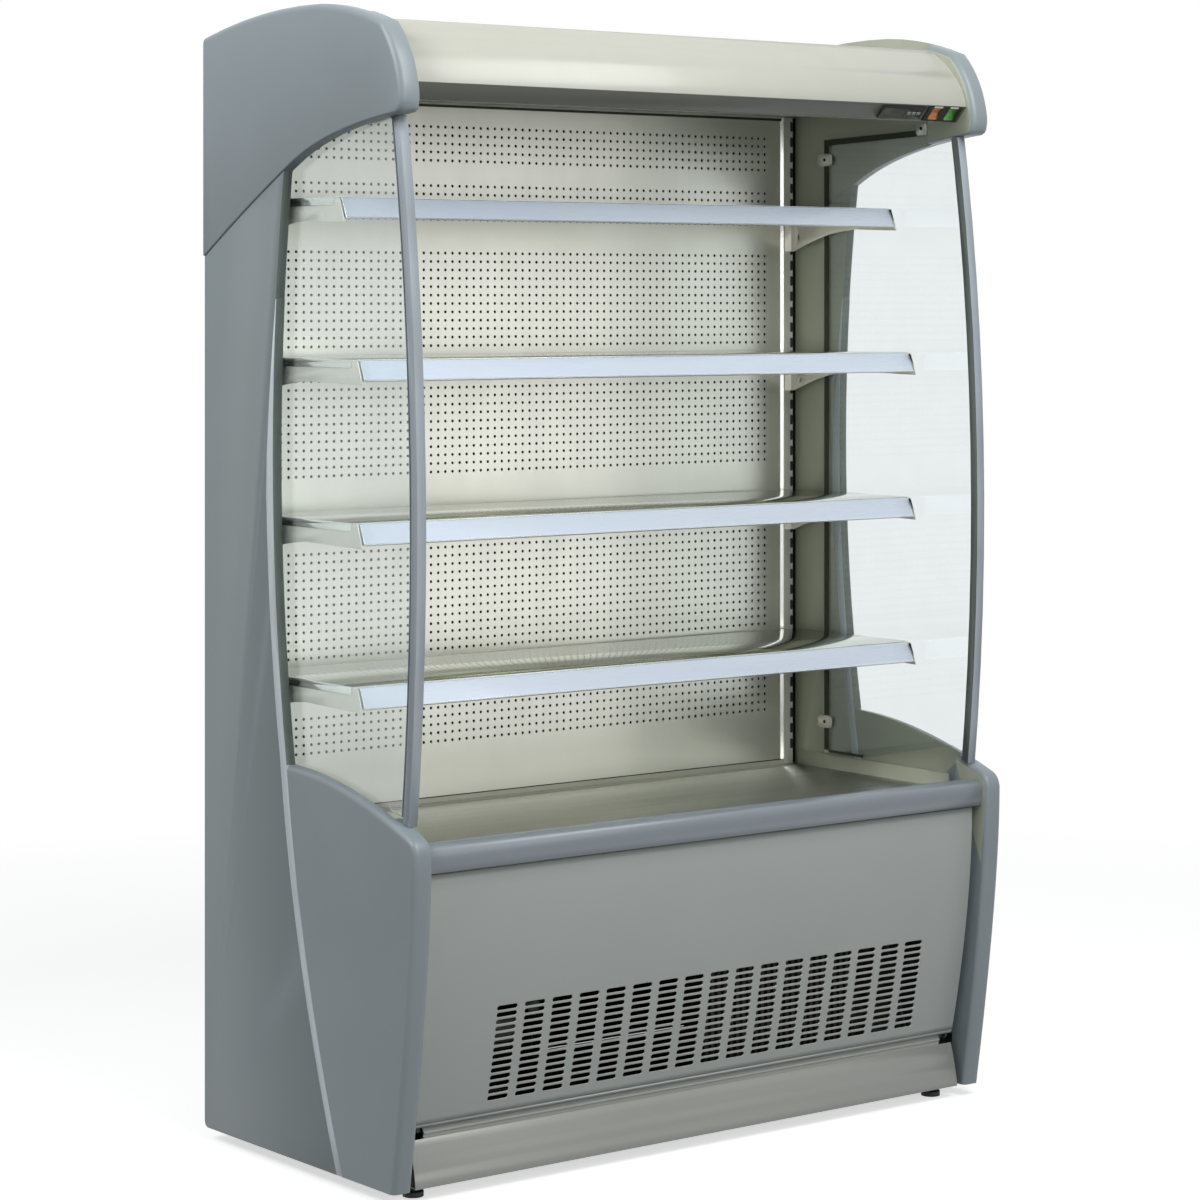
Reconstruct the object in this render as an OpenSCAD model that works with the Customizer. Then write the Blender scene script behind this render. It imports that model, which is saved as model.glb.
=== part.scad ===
// Open-front multideck refrigerated display case: insulated body, glazed ends,
// hooked shelves with price rails, louvred front panel and a plug-in cooling unit.
// Side view: s runs back from the foremost curve, z runs up from the floor.

/* [Case] */
// overall width across the end caps
case_w = 1330; // [1230:10:1430]
// overall height above the floor
case_h = 1991; // [1900:1:2080]
// overall depth, foremost curve to rear wall
case_d = 656; // [620:1:700]

/* [Ends] */
// thickness of the insulated side panels
side_t = 18; // [15:1:21]
// how far the end caps stand out past the side panels
cap_proud = 3; // [1:0.5:6]
// width of the thick front mouldings of cheek and end cap
nose_t = 38; // [34:1:42]
// edge radius of the end caps
cap_r = 12; // [6:1:14]
// edge radius of the cheeks
cheek_r = 10; // [5:1:13]
// thickness of the side glass
glass_t = 6; // [4:1:8]
// width of the light strip at mid height
strip_w = 24; // [16:1:30]

/* [Shelving] */
// height from shelf to shelf
shelf_step = 275; // [250:25:275]
// height of the lowest shelf rail above the floor
shelf_low = 842.5; // [830:2.5:860]
// how far the top shelf is set back behind the others
top_setback = 55; // [0:5:80]
// slots in the uprights from one shelf to the next
slots_per_step = 9; // [8:1:11]
// height of the price rails
rail_h = 35; // [32:0.5:38]
// thickness of the shelf brackets
bracket_t = 2; // [1.5:0.1:2.4]
// thickness of the shelf sheet
tray_t = 1.2; // [0.8:0.1:2]
// length of one shelf hook behind the upright's face
hook_drop = 6; // [4:0.5:7]

/* [Front panel] */
// sheet thickness of the front panel and kick plate
panel_t = 2; // [1.5:0.1:3]
// number of louvre columns
louvre_cols = 17; // [9:1:18]
// number of louvre rows
louvre_rows = 14; // [6:1:14]
// length of one louvre slot
louvre_l = 42; // [30:1:48]
// height of one louvre slot
louvre_h = 7.5; // [4:0.5:9]
// spacing of the louvre columns
louvre_dx = 57.7; // [54:0.1:60]
// spacing of the louvre rows
louvre_dz = 12; // [11:0.5:12.5]
// radius of the panel's hinge pins
pin_r = 4; // [3:0.5:5]

/* [Machinery] */
// blade radius of the condenser fan
cond_fan_r = 100; // [80:5:110]
// blade radius of the two evaporator fans
evap_fan_r = 56; // [45:1:58]
// pitch of the evaporator fins
fin_pitch = 18; // [14:1:24]
// radius of the fan shafts
shaft_r = 4; // [3:0.5:5]

/* [Feet] */
// diameter of the foot discs
foot_d = 35.4; // [30:0.2:50]
// thickness of the foot discs
foot_h = 9; // [6:0.5:12]
// radius of the foot stems
stem_r = 5; // [4:0.5:8]

/* [Fits] */
// gap left where one piece sits against the next
fit = 0.3; // [0.2:0.05:0.4]
// radial gap of every turning pair
run = 0.06; // [0.03:0.01:0.1]

/* [Hidden] */
$fn = 32;

half = case_w / 2;
side_x = half - cap_proud;
inner_x = side_x - side_t;
nose_x = side_x - nose_t;
cap_nose_x = nose_x - 1.5;
glass_out = inner_x - 2;
glass_in = glass_out - glass_t;
upright_out = inner_x - 11;
upright_in = upright_out - 25;
bracket_x = upright_out - 4.7;
steel_t = 1.5;

// the side view's nominal numbers follow the overall depth and height
function sy(s) = (s / 656 - 0.5) * case_d;
function sz(z) = z / 1991 * case_h;
function at(p) = [sy(p[0]), sz(p[1])];
function bez(a, b, c, t) = (1 - t) * (1 - t) * a + 2 * t * (1 - t) * b + t * t * c;
function curve(a, b, c, n) = [for (i = [0 : n]) bez(a, b, c, i / n)];
function flip(v) = [for (i = [len(v) - 1 : -1 : 0]) v[i]];
function unit(v) = v / norm(v);
function left_of(a, b) = let (u = unit(b - a)) [-u[1], u[0]];
function shifted(v, ds, dz) = [for (p = v) p + [ds, dz]];
function bend(n1, n2) = (n1 + n2) / (1 + n1 * n2);

// an open line moved sideways by t, corners mitred
function beside(v, t) = [
  for (i = [0 : len(v) - 1])
    let (
      n1 = i > 0 ? left_of(v[i - 1], v[i]) : left_of(v[0], v[1]),
      n2 = i < len(v) - 1 ? left_of(v[i], v[i + 1]) : n1
    )
    v[i] + t * bend(n1, n2)
];

// a closed outline [y, z, weight] drawn in by d times the weight of each edge
function drawn_in(o, d) = [
  for (i = [0 : len(o) - 1])
    let (
      p = o[(i + len(o) - 1) % len(o)],
      q = o[i],
      r = o[(i + 1) % len(o)],
      a = [p[0], p[1]],
      b = [q[0], q[1]],
      c = [r[0], r[1]],
      n1 = left_of(a, b),
      n2 = left_of(b, c),
      d1 = d * p[2],
      d2 = d * q[2],
      k = n1[0] * n2[1] - n1[1] * n2[0]
    )
    abs(k) < 0.3
      ? b + (d1 + d2) / 2 * bend(n1, n2)
      : b + [d1 * n2[1] - d2 * n1[1], d2 * n1[0] - d1 * n2[0]] / k
];
function weighted(v, w) = [for (p = v) [p[0], p[1], w]];
function scaled(v) = [for (p = v) [sy(p[0]), sz(p[1]), p[2]]];

// prism along X from a side outline
module along(x0, x1, v) {
  translate([x0, 0, 0])
    rotate([90, 0, 90])
      linear_extrude(x1 - x0)
        polygon([for (p = v) at(p)]);
}

// folded sheet along X, its outer face on the given line
module folded(x0, x1, v, t) {
  line = [for (p = v) at(p)];
  translate([x0, 0, 0])
    rotate([90, 0, 90])
      linear_extrude(x1 - x0)
        polygon(concat(line, flip(beside(line, t))));
}

// box from side-view limits
module block(x0, x1, s0, s1, z0, z1) {
  translate([x0, sy(s0), sz(z0)])
    cube([x1 - x0, sy(s1) - sy(s0), sz(z1) - sz(z0)]);
}

// moulding lofted through drawn-in rings, its far edge rounded by r; the whole outline is in sight from c
module moulding(o, t, r, c) {
  steps = 5;
  n = len(o);
  rings = concat(
    [[0, 0]],
    [for (j = [0 : steps]) let (a = 90 * j / steps) [t - r + r * sin(a), r * (1 - cos(a))]]
  );
  m = len(rings);
  pts = concat(
    [for (g = rings, p = drawn_in(o, g[1])) [g[0], p[0], p[1]]],
    [[0, c[0], c[1]], [t, c[0], c[1]]]
  );
  sides = [
    for (k = [0 : m - 2], i = [0 : n - 1])
      let (j = (i + 1) % n, a = k * n + i, b = k * n + j, c = (k + 1) * n + j, e = (k + 1) * n + i)
      for (f = [[a, e, c], [a, c, b]]) f
  ];
  near = [for (i = [0 : n - 1]) [i, (i + 1) % n, m * n]];
  far = [for (i = [0 : n - 1]) [(m - 1) * n + (i + 1) % n, (m - 1) * n + i, m * n + 1]];
  polyhedron(pts, concat(near, sides, far));
}

module on_right(right) {
  if (right) children();
  else mirror([1, 0, 0]) children();
}

module both() {
  children();
  mirror([1, 0, 0]) children();
}

// the window's rear edge, from the cap down to the cheek
function window(t) = bez([393, 1724], [470, 1188], [387, 700], t);
// the cheek's rear edge, from the window down to the bottom
function sweep(t) = bez([386, 692], [345, 361], [213, 22], t);
// the cap's lower edge, from the nose back to the rear wall
function cap_low(t) = bez([50, 1796], [259, 1777], [372, 1721], t);
cap_low_front = [for (i = [0 : 10]) cap_low(i / 10)];
function cap_low_rear(t) = bez([372, 1721], [505, 1655], [656, 1565], t);

cheek_top = curve([386, 692], [215, 688], [20, 612], 12);
cheek_corner = curve([20, 612], [3, 605], [0, 585], 5);
cheek_front = curve([0, 585], [0, 400], [62, 22], 12);
strip_top = 0.22;
strip_front = concat(
  [for (i = [0 : 12]) window(strip_top + (1 - strip_top) * i / 12)],
  [for (i = [0 : 10]) sweep(i / 10)]
);
strip_rear = concat(
  [for (i = [0 : 12]) let (t = i / 12) window(strip_top + (1 - strip_top) * t) + [strip_w * min(1, 0.1 + 2.4 * t) - 4 * t, 0]],
  [for (i = [0 : 10]) let (t = i / 10) sweep(t) + [strip_w - 4 - 2.5 * t, 0]]
);
wf = fit / case_d * 656;

post_front = [for (i = [0 : 12]) let (z = 600 + 1240 * i / 12) [24 + pow(z - 1100, 2) / 9000, z]];
cheek_outline = concat(
  [for (i = [10 : -1 : 1]) sweep(i / 10)],
  cheek_top,
  [for (i = [1 : 5]) cheek_corner[i]],
  [for (i = [1 : 12]) cheek_front[i]]
);
cap_upper = concat(
  curve([656, 1955], [470, 1996], [292, 1990], 6),
  [for (i = [1 : 6]) bez([292, 1990], [190, 1984], [95, 1950], i / 6)],
  [for (i = [1 : 8]) bez([95, 1950], [45, 1900], [35, 1830], i / 8)],
  [for (i = [1 : 4]) bez([35, 1830], [34, 1800], [50, 1796], i / 4)]
);
cap_outline = concat(
  cap_upper,
  [for (i = [1 : 10]) cap_low_front[i]],
  [for (i = [1 : 9]) cap_low_rear(i / 9)]
);

// shelf rails from the top down: height and setback of each
function rail_z(i) = shelf_low + (3 - i) * shelf_step;
function rail_s(i) = 215.4 + (i == 0 ? top_setback : 0);
// the local side view of one shelf keeps true millimetres from its rail's top edge
function shelf_at(i, ds, dz) = [sy(rail_s(i)) + ds, sz(rail_z(i)) + dz];
module shelf_prism(i, x0, x1, v) {
  translate([x0, 0, 0])
    rotate([90, 0, 90])
      linear_extrude(x1 - x0)
        polygon([for (p = v) shelf_at(i, p[0], p[1])]);
}
upright_face = sy(560);
hook_z = 20;
slot_pitch = sz(shelf_step) / slots_per_step;
slot_n = floor((sz(1835) - sz(600)) / slot_pitch);
slot_below = floor((sz(shelf_low) - hook_z - sz(596)) / slot_pitch);

module base_frame() {
  color([0.25, 0.26, 0.27])
  difference() {
    union() {
      both() {
        block(inner_x - 40, inner_x - fit, 134, 580, 22, 62);
        along(hook_x - 14, hook_x - 6, pin_lug);
        translate([hook_x - 6, sy(98), sz(112)]) rotate([0, 90, 0]) cylinder(h = 18, r = pin_r);
      }
      block(-nose_x + fit, nose_x - fit, 94, 134, 22, 62);
      block(-inner_x + fit, inner_x - fit, 580, 640, 22, 62);
      block(-inner_x + 41, inner_x - 41, 134, 580, 60, 62);
    }
    block(-foot_x + 16, foot_x - 16, 97, 131, 0, 59);
    block(-foot_x + 16, foot_x - 16, 583, 637, 0, 59);
    both() {
      block(inner_x - 37, inner_x - 3, 140, 574, 0, 59);
      for (s = [113.6, 606])
        translate([foot_x, sy(s), 0]) cylinder(h = sz(62) + 1, r = stem_r + run);
    }
  }
}
foot_x = half - 78.1;
hook_x = nose_x - 24;
panel_x = nose_x - 11;
// the lug and the kick rail keep clear of the panel's lower edge when the panel tips out
pin_lug = [[98, 107], [104, 107], [112, 104], [112, 62], [124, 62], [124, 120], [93, 120], [93, 109]];

module kick_plate() {
  color([0.72, 0.73, 0.70])
  folded(-panel_x, panel_x, concat([[93.5, 46]], [[93.5, 24]], curve([68, 22], [73, 58], [86, 100], 8)), -panel_t);
}
// rolled ledge over the kick plate, screwed behind its upper edge
module kick_rail() {
  color([0.68, 0.70, 0.67])
  along(-nose_x + 40, nose_x - 40, [
    [91, 118], [89.8, 114], [88.2, 111.4], [86.8, 110.2], [85.9, 109.2], [85.6, 108.1],
    [85.9, 107], [86.8, 106.3], [88.2, 106], [88.2, 88], [90.2, 88], [90.2, 107.4],
    [91.6, 113], [92.8, 118]
  ]);
}

module back_wall() {
  color([0.55, 0.58, 0.58])
  block(-inner_x + fit, inner_x - fit, 606.3, 656, 385, 1904.6);
}

module inner_tub() {
  color([0.85, 0.86, 0.84])
  difference() {
    union() {
      block(-nose_x + fit, nose_x - fit, 60.5, 98, 420, 560);
      block(-inner_x + fit, inner_x - fit, 98, 606, 385, 564);
    }
    block(-inner_x + 25, inner_x - 25, 86, 607, 412, 580);
  }
}

module roof_panel() {
  color([0.80, 0.81, 0.80])
  block(-inner_x + fit, inner_x - fit, 160.4, 656, 1905, 1945);
}

module ceiling_panel() {
  color([0.88, 0.90, 0.90])
  folded(-inner_x + 1, inner_x - 1, [[196, 1904.7], [196, 1850], [558.5, 1850], [558.5, 1862]], steel_t);
}

module rear_grille() {
  color([0.3, 0.31, 0.32])
  difference() {
    block(-inner_x + fit, inner_x - fit, 642, 644, 62.3, 384.7);
    for (i = [0 : 11], j = [0 : 5])
      translate([-inner_x + 78 + i * (2 * inner_x - 200) / 11, sy(640), sz(110 + j * 42)])
        cube([44, sy(650) - sy(640), 14]);
  }
}

module side_panel() {
  color([0.55, 0.58, 0.59])
  along(inner_x, side_x, concat(
    shifted(flip(strip_rear), wf, 0),
    [for (i = [5 : -1 : 0]) window(0.016 + (strip_top - 0.016) * i / 5) + [wf * i / 5 * 4, 0]],
    shifted([for (i = [0 : 8]) cap_low_rear(0.08 + 0.92 * i / 8)], 0, -wf * 1.2),
    [[656, 32], [653, 25], [646, 22]]
  ));
}

module cheek() {
  o = scaled(concat(
    weighted([for (i = [10 : -1 : 1]) sweep(i / 10)], 0),
    weighted([for (i = [0 : 12]) cheek_top[i]], 1),
    weighted([for (i = [1 : 5]) cheek_corner[i]], 1),
    weighted([for (i = [1 : 11]) cheek_front[i]], 1),
    weighted([cheek_front[12]], 0)
  ));
  n = scaled(concat(
    weighted([[96, 22]], 0),
    weighted([for (p = cheek_top) if (p[0] < 100) p], 1),
    weighted([for (i = [1 : 5]) cheek_corner[i]], 1),
    weighted([for (i = [1 : 11]) cheek_front[i]], 1),
    weighted([cheek_front[12]], 0)
  ));
  color([0.50, 0.54, 0.57])
  translate([inner_x, 0, 0]) {
    moulding(o, side_t, cheek_r, at([200, 400]));
    mirror([1, 0, 0]) moulding(n, nose_t - side_t, cheek_r, at([55, 400]));
  }
}

module accent_strips() {
  color([0.66, 0.69, 0.72])
  both()
    along(inner_x, side_x, concat(shifted(flip(strip_rear), 0, 0), shifted(strip_front, wf, 0)));
}

module end_cap() {
  o = scaled(concat(
    weighted([for (i = [0 : 5]) cap_upper[i]], 1),
    weighted([for (i = [6 : 20]) cap_upper[i]], 1),
    [for (i = [21 : 24]) let (p = cap_upper[i]) [p[0], p[1], 1 - 0.18 * (i - 20)]],
    weighted([for (i = [1 : 10]) cap_low_front[i]], 0.25),
    weighted([for (i = [1 : 8]) cap_low_rear(i / 9)], 0.25),
    weighted([[656, 1565]], 0)
  ));
  n = scaled(concat(
    weighted([for (i = [0 : 20]) if (cap_upper[i][0] < 165) cap_upper[i]], 1),
    [for (i = [21 : 24]) let (p = cap_upper[i]) [p[0], p[1], 1 - 0.18 * (i - 20)]],
    weighted([for (i = [1 : 3]) cap_low(0.07 * i)], 0.25),
    weighted([cap_low(0.28)], 0)
  ));
  color([0.54, 0.58, 0.60])
  translate([inner_x, 0, 0]) {
    moulding(o, half - inner_x, cap_r, at([590, 1800]));
    mirror([1, 0, 0]) moulding(n, inner_x - cap_nose_x, cap_r, at([110, 1880]));
  }
}

module side_glass() {
  front = [for (i = [12 : -1 : 0]) let (z = 640 + 1149 * i / 12) [24 + pow(z - 1100, 2) / 9000 + 19.4, z]];
  color([0.75, 0.85, 0.83, 0.35])
  along(glass_in, glass_out, concat(
    [[110, 651], [355, 600], [468, 600], [468, 1802], [168, 1812], [168, 1780]],
    shifted([cap_low(0.28), cap_low(0.2), cap_low(0.12)], 0, -2 * wf),
    front
  ));
}

module post() {
  front = post_front;
  color([0.62, 0.63, 0.68])
  translate([cap_nose_x - 0.5, 0, 0])
    rotate([90, 0, 90])
      linear_extrude(18.5)
        difference() {
          polygon([for (p = concat(front, flip(shifted(front, 18, 0)))) at(p)]);
          polygon([for (p = shifted(cheek_outline, 0, wf)) at(p)]);
          polygon([for (p = shifted(cap_outline, 0, -wf)) at(p)]);
        }
}

module glass_clips() {
  color([0.2, 0.2, 0.21])
  both()
    difference() {
      union() {
        block(glass_in - 3, inner_x - fit, 452, 480, 1750, 1774);
        block(glass_in - 3, inner_x - fit, 452, 480, 649, 673);
        block(glass_in - 3, inner_x - fit, 174, 200, 1800, 1826);
      }
      block(glass_in - fit, glass_out + fit, 440, 468 + 2 * wf, 640, 1790);
      block(glass_in - fit, glass_out + fit, 170, 210, 1790, 1812.6);
    }
}

module uprights() {
  color([0.62, 0.64, 0.64])
  both()
    difference() {
      block(upright_in, upright_out, 560, 606, 568.4, 1849);
      translate([upright_in + 2, upright_face + 2, sz(560)])
        cube([30, sy(606) - upright_face - 4, case_h]);
      for (k = [0 : slot_n - 1])
        translate([bracket_x - bracket_t / 2 - 0.5, upright_face - 1, sz(shelf_low) - hook_z + (k - slot_below) * slot_pitch - 7])
          cube([bracket_t + 1, 5, 14]);
    }
}

module back_panel() {
  color([0.76, 0.76, 0.72])
  folded(-upright_in + 0.5, upright_in - 0.5, [[572, 1847], [560, 1847], [560, 580], [572, 580]], steel_t);
  // the foot strip stands on the deck, in front of the panel
  color([0.78, 0.78, 0.74])
  folded(-upright_in + 1, upright_in - 1, [[541, 568], [556, 568], [556, 579]], steel_t);
}

module deck_tray() {
  color([0.70, 0.71, 0.71])
  difference() {
    union() {
      folded(-inner_x + 0.8, inner_x - 0.8, [[116, 553], [116, 568], [555, 568]], -steel_t);
      both() block(inner_x - 2.3, inner_x - 0.8, 120, 555, 566.8, 596);
    }
    both() block(inner_x - 26, inner_x, 100, 118.5, 540, 566.4);
  }
}

module return_grille() {
  color([0.16, 0.16, 0.17])
  difference() {
    folded(-nose_x + 1, nose_x - 1, [[60.6, 575], [60.6, 591], [66, 591], [115.6, 571], [115.6, 565]], -steel_t);
    for (i = [0 : 41], j = [0 : 1])
      translate([-nose_x + 22 + i * (2 * nose_x - 60) / 41, sy(72 + 21 * j), sz(545)])
        cube([14, 15, 60]);
  }
}

module bumper() {
  outer = concat(
    curve([16, 550], [12, 570], [15, 583], 4),
    [for (i = [1 : 5]) bez([15, 583], [18, 595], [32, 596], i / 5)],
    [[58, 594.5], [60.3, 592], [60.3, 550]]
  );
  color([0.55, 0.58, 0.63])
  difference() {
    along(-nose_x + fit, nose_x - fit, outer);
    along(-nose_x - 1, nose_x + 1, [[20, 553.5], [57, 553.5], [57, 590.5], [32, 592.5], [22, 590], [18.6, 583]]);
  }
}

canopy_line = concat(
  [[158, 1946], [158, 1957], [152, 1958.5]],
  [for (i = [1 : 8]) bez([152, 1958.5], [68, 1913], [53, 1848], i / 8)],
  [[81, 1820], [88, 1820], [112, 1851.5], [133, 1851.5]]
);
face_mid = [(sy(53) + sy(81)) / 2, (sz(1848) + sz(1820)) / 2];
face_tilt = 180 - atan2(sz(1848) - sz(1820), sy(81) - sy(53));
module on_face(x) {
  translate([x, face_mid[0], face_mid[1]])
    rotate([face_tilt, 0, 0])
      children();
}
ctrl_x = half - 195;
switch_x = half - 93;

module canopy() {
  color([0.88, 0.88, 0.86])
  difference() {
    folded(-cap_nose_x + fit, cap_nose_x - fit, canopy_line, steel_t);
    on_face(ctrl_x) translate([-50, -13.5, -4]) cube([100, 27, 12]);
    on_face(switch_x) translate([-40, -15.2, -4]) cube([80, 30.4, 12]);
  }
}

module air_honeycomb() {
  cells = 48;
  w = (2 * cap_nose_x - 20) / cells;
  color([0.7, 0.72, 0.74])
  difference() {
    block(-cap_nose_x + 2, cap_nose_x - 2, 134, 195.5, 1851.5, 1875);
    for (i = [0 : cells - 1], j = [0 : 2])
      translate([-cap_nose_x + 10 + i * w + 0.8, sy(136.5 + 19.5 * j), sz(1840)])
        cube([w - 1.6, sy(18) - sy(0), 60]);
  }
}

lamp_r = 8;
module lamp_tube() {
  color([0.98, 0.98, 0.95])
  translate([-half + 75, sy(121), sz(1838)])
    rotate([0, 90, 0])
      cylinder(h = case_w - 150, r = lamp_r);
}

module lamp_holders() {
  color([0.85, 0.85, 0.84])
  both()
    difference() {
      translate([half - 85, sy(121) - 7, sz(1838) - 11]) cube([22, 14, sz(1851.5) - sz(1838) + 11 - fit]);
      translate([half - 86, sy(121), sz(1838)]) rotate([0, 90, 0]) cylinder(h = 11 + fit, r = lamp_r + run);
    }
}

module controller() {
  color([0.1, 0.1, 0.11])
  on_face(ctrl_x)
    difference() {
      union() {
        translate([-49.5, -13, -16]) cube([99, 26, 16]);
        translate([-53, -15, fit]) cube([106, 30, 2]);
        translate([-49.5, -13, -1]) cube([99, 26, 2]);
      }
      translate([-44, -9, 1.3]) cube([52, 18, 2]);
      for (i = [0 : 2])
        translate([13 + 11.5 * i, -3.5, -2.2]) cube([9, 7, 6]);
    }
}

module key(i) {
  color([0.75, 0.76, 0.78])
  on_face(ctrl_x)
    translate([13.3 + 11.5 * i, -3.2, -1.2]) cube([8.4, 6.4, 4.6]);
}

rock_tilt = 7;
module switch_frame() {
  color([0.12, 0.12, 0.13])
  on_face(switch_x)
    difference() {
      union() {
        translate([-39.5, -14.9, -16]) cube([79, 29.8, 17]);
        translate([-42, -17, fit]) cube([84, 34, 2]);
      }
      for (x = [-20, 20])
        translate([x, 0, 0]) {
          translate([-10.7, -13.7, -14.5]) cube([21.4, 27.4, 20]);
          translate([-12.6, 0, -4]) rotate([0, 90, 0]) cylinder(h = 25.2, r = 1.4 + run);
        }
    }
}

module rocker(x) {
  on_face(switch_x)
    translate([x, 0, -4])
      rotate([-rock_tilt, 0, 0]) {
        rotate([90, 0, 90])
          translate([0, 0, -10.4])
            linear_extrude(20.8)
              polygon([[-12.4, 1], [-8, -5], [8, -5], [12.4, 1], [12.4, 7.4], [6, 5.6], [0, 5], [-6, 5.6], [-12.4, 7.4]]);
        translate([-12.3, 0, 0]) rotate([0, 90, 0]) cylinder(h = 24.6, r = 1.4);
      }
}
module orange_rocker() {
  color([0.93, 0.42, 0.10]) rocker(-20);
}
module green_rocker() {
  color([0.20, 0.62, 0.25]) rocker(20);
}

tray_half = bracket_x + bracket_t / 2 + fit + tray_t;
tray_back = sy(545);
rail_half = bracket_x - bracket_t / 2 - 4;
module shelf(i) {
  d = tray_back - sy(rail_s(i));
  line = [[7, -40], [7, -4], [d, -4]];
  color([0.78, 0.80, 0.82])
  union() {
    difference() {
      shelf_prism(i, -tray_half, tray_half, concat(line, flip(beside(line, -tray_t))));
      // the bracket plates pass the ends of the front fold
      both()
        shelf_prism(i, bracket_x - bracket_t / 2 - fit, tray_half + 1, [[6, -42], [9, -42], [9, -5.4], [6, -5.4]]);
    }
    shelf_prism(i, -bracket_x + 2, bracket_x - 2, [[d - tray_t, -4.5], [d, -4.5], [d, -24], [d - tray_t, -24]]);
    both()
      shelf_prism(i, tray_half - tray_t, tray_half, [
        [13, -4], [13, -15.5], [14, -17.6], [16.2, -18.5], [d, -18.5], [d, -4]
      ]);
    for (s = [0.3, 0.65])
      translate([-bracket_x + 24, sy(rail_s(i)) + d * s, sz(rail_z(i)) - 4 - tray_t - 14])
        difference() {
          cube([2 * bracket_x - 48, 34, 14 + tray_t / 2]);
          translate([-1, tray_t, tray_t]) cube([2 * bracket_x, 34 - 2 * tray_t, 15]);
        }
  }
}

// a rail's face leans back, its upper edge 5.5 mm under the shelf line
function rail_face(z) = z * tan(22.6);
module rail(i) {
  top = -5.5;
  low = top - rail_h;
  color([0.72, 0.76, 0.82])
  difference() {
    shelf_prism(i, -rail_half, rail_half, [
      [rail_face(top), top], [6.7, top], [6.7, low], [rail_face(low) - 1, low - 1],
      [rail_face(low) - 4, low + 1], [rail_face(low), low + 2]
    ]);
    shelf_prism(i, -rail_half - 1, rail_half + 1, [
      [rail_face(top) + 2.1, top - 2.2], [5.2, top - 2.2], [5.2, low + 1.4], [rail_face(low) + 2.7, low + 1.6]
    ]);
  }
}

module bracket(i) {
  top = -4 - tray_t - fit;
  rear = upright_face - fit - sy(rail_s(i));
  deep = [[0, -84], [32, -73], [72, -60], [111, -51], [149, -46], [181, -43]];
  translate([bracket_x - bracket_t / 2, 0, 0]) {
    shelf_prism(i, 0, bracket_t, concat(
      [[rail_face(top) - 0.3, top], [rail_face(top) - 1.4, top - 2], [-18, -47]],
      [for (k = [5 : -1 : 0]) [rear - 8 - deep[k][0], deep[k][1]]],
      [[rear, -84], [rear, top]]
    ));
    for (z = [-hook_z, -hook_z - slot_pitch])
      shelf_prism(i, 0, bracket_t, [
        [rear - 2, z - 7], [rear - 2, z + 5],
        [rear + 6.3, z + 5], [rear + 6.3, z - 7 - hook_drop],
        [rear + 2.6, z - 7 - hook_drop], [rear + 2.6, z - 7]
      ]);
  }
  translate([bracket_x - 18, upright_face - fit - bracket_t, sz(rail_z(i)) - 84])
    cube([18, bracket_t, 79.5 - tray_t]);
}

module brackets() {
  color([0.74, 0.76, 0.77])
  for (i = [0 : 3]) bracket(i);
}

panel_line = curve([28, 546], [28, 365], [82, 124], 16);
module front_panel() {
  color([0.66, 0.68, 0.66])
  difference() {
    union() {
      folded(-panel_x, panel_x, concat([[44, 546]], panel_line, [[83.3, 119], [86, 119]]), panel_t);
      both()
        along(panel_x - panel_t, panel_x, concat(
          panel_line,
          shifted(flip(panel_line), 16, 0)
        ));
    }
    for (i = [0 : louvre_cols - 1], j = [0 : louvre_rows - 1])
      translate([21 + (i - (louvre_cols - 1) / 2) * louvre_dx, sy(110), sz(228) + (j - (louvre_rows - 1) / 2) * louvre_dz])
        rotate([90, 0, 0])
          linear_extrude(sy(110) - sy(20))
            louvre_slot();
  }
}
module louvre_slot() {
  r = louvre_h / 2;
  polygon([
    for (e = [-1, 1], k = [0 : 4])
      let (a = (e < 0 ? 90 : -90) + 45 * k)
      [e * (louvre_l / 2 - r) + r * cos(a), r * sin(a)]
  ]);
}

module panel_hooks() {
  color([0.1, 0.1, 0.1])
  both()
    difference() {
      union() {
        along(hook_x, hook_x + 6, [[88.4, 112.5], [98, 110], [98, 119], [94, 132], [83, 132], [84.8, 124], [86.6, 121.8]]);
        translate([hook_x, sy(98), sz(112)]) rotate([0, 90, 0]) cylinder(h = 6, r = pin_r + 2.6);
      }
      translate([hook_x - 1, sy(98), sz(112)]) rotate([0, 90, 0]) cylinder(h = 8, r = pin_r + run);
    }
}

module compressor() {
  color([0.08, 0.08, 0.09])
  translate([-230, sy(420), sz(62)]) {
    for (x = [-80, 80], y = [-55, 55])
      translate([x, y, 0.3]) cylinder(h = 18, r = 14);
    translate([-100, -75, 18.3]) cube([200, 150, 5]);
    translate([0, 0, 23.3])
      rotate_extrude()
        polygon(concat([[0, 0], [72, 0]], curve([72, 0], [92, 4], [92, 30], 5), [[94, 78], [94, 86]], curve([92, 88], [92, 178], [0, 184], 8)));
    translate([92, 0, 60]) rotate([0, 90, 0]) cylinder(h = 40, r = 5);
    translate([60, -60, 120]) cube([46, 50, 60]);
  }
}

module condenser() {
  color([0.55, 0.56, 0.57])
  translate([70, sy(150), sz(62)])
    difference() {
      union() {
        translate([0, 0, 0.3]) cube([360, 60, 250]);
        translate([-18, 14, 40]) rotate([0, 90, 0]) cylinder(h = 20, r = 5);
        translate([-18, 14, 210]) rotate([0, 90, 0]) cylinder(h = 20, r = 5);
      }
      for (i = [0 : 23])
        translate([8 + i * 14.6, -1, 10]) cube([7, 26, 230]);
      for (i = [0 : 23])
        translate([8 + i * 14.6, 35, 10]) cube([7, 26, 230]);
    }
}

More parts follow.
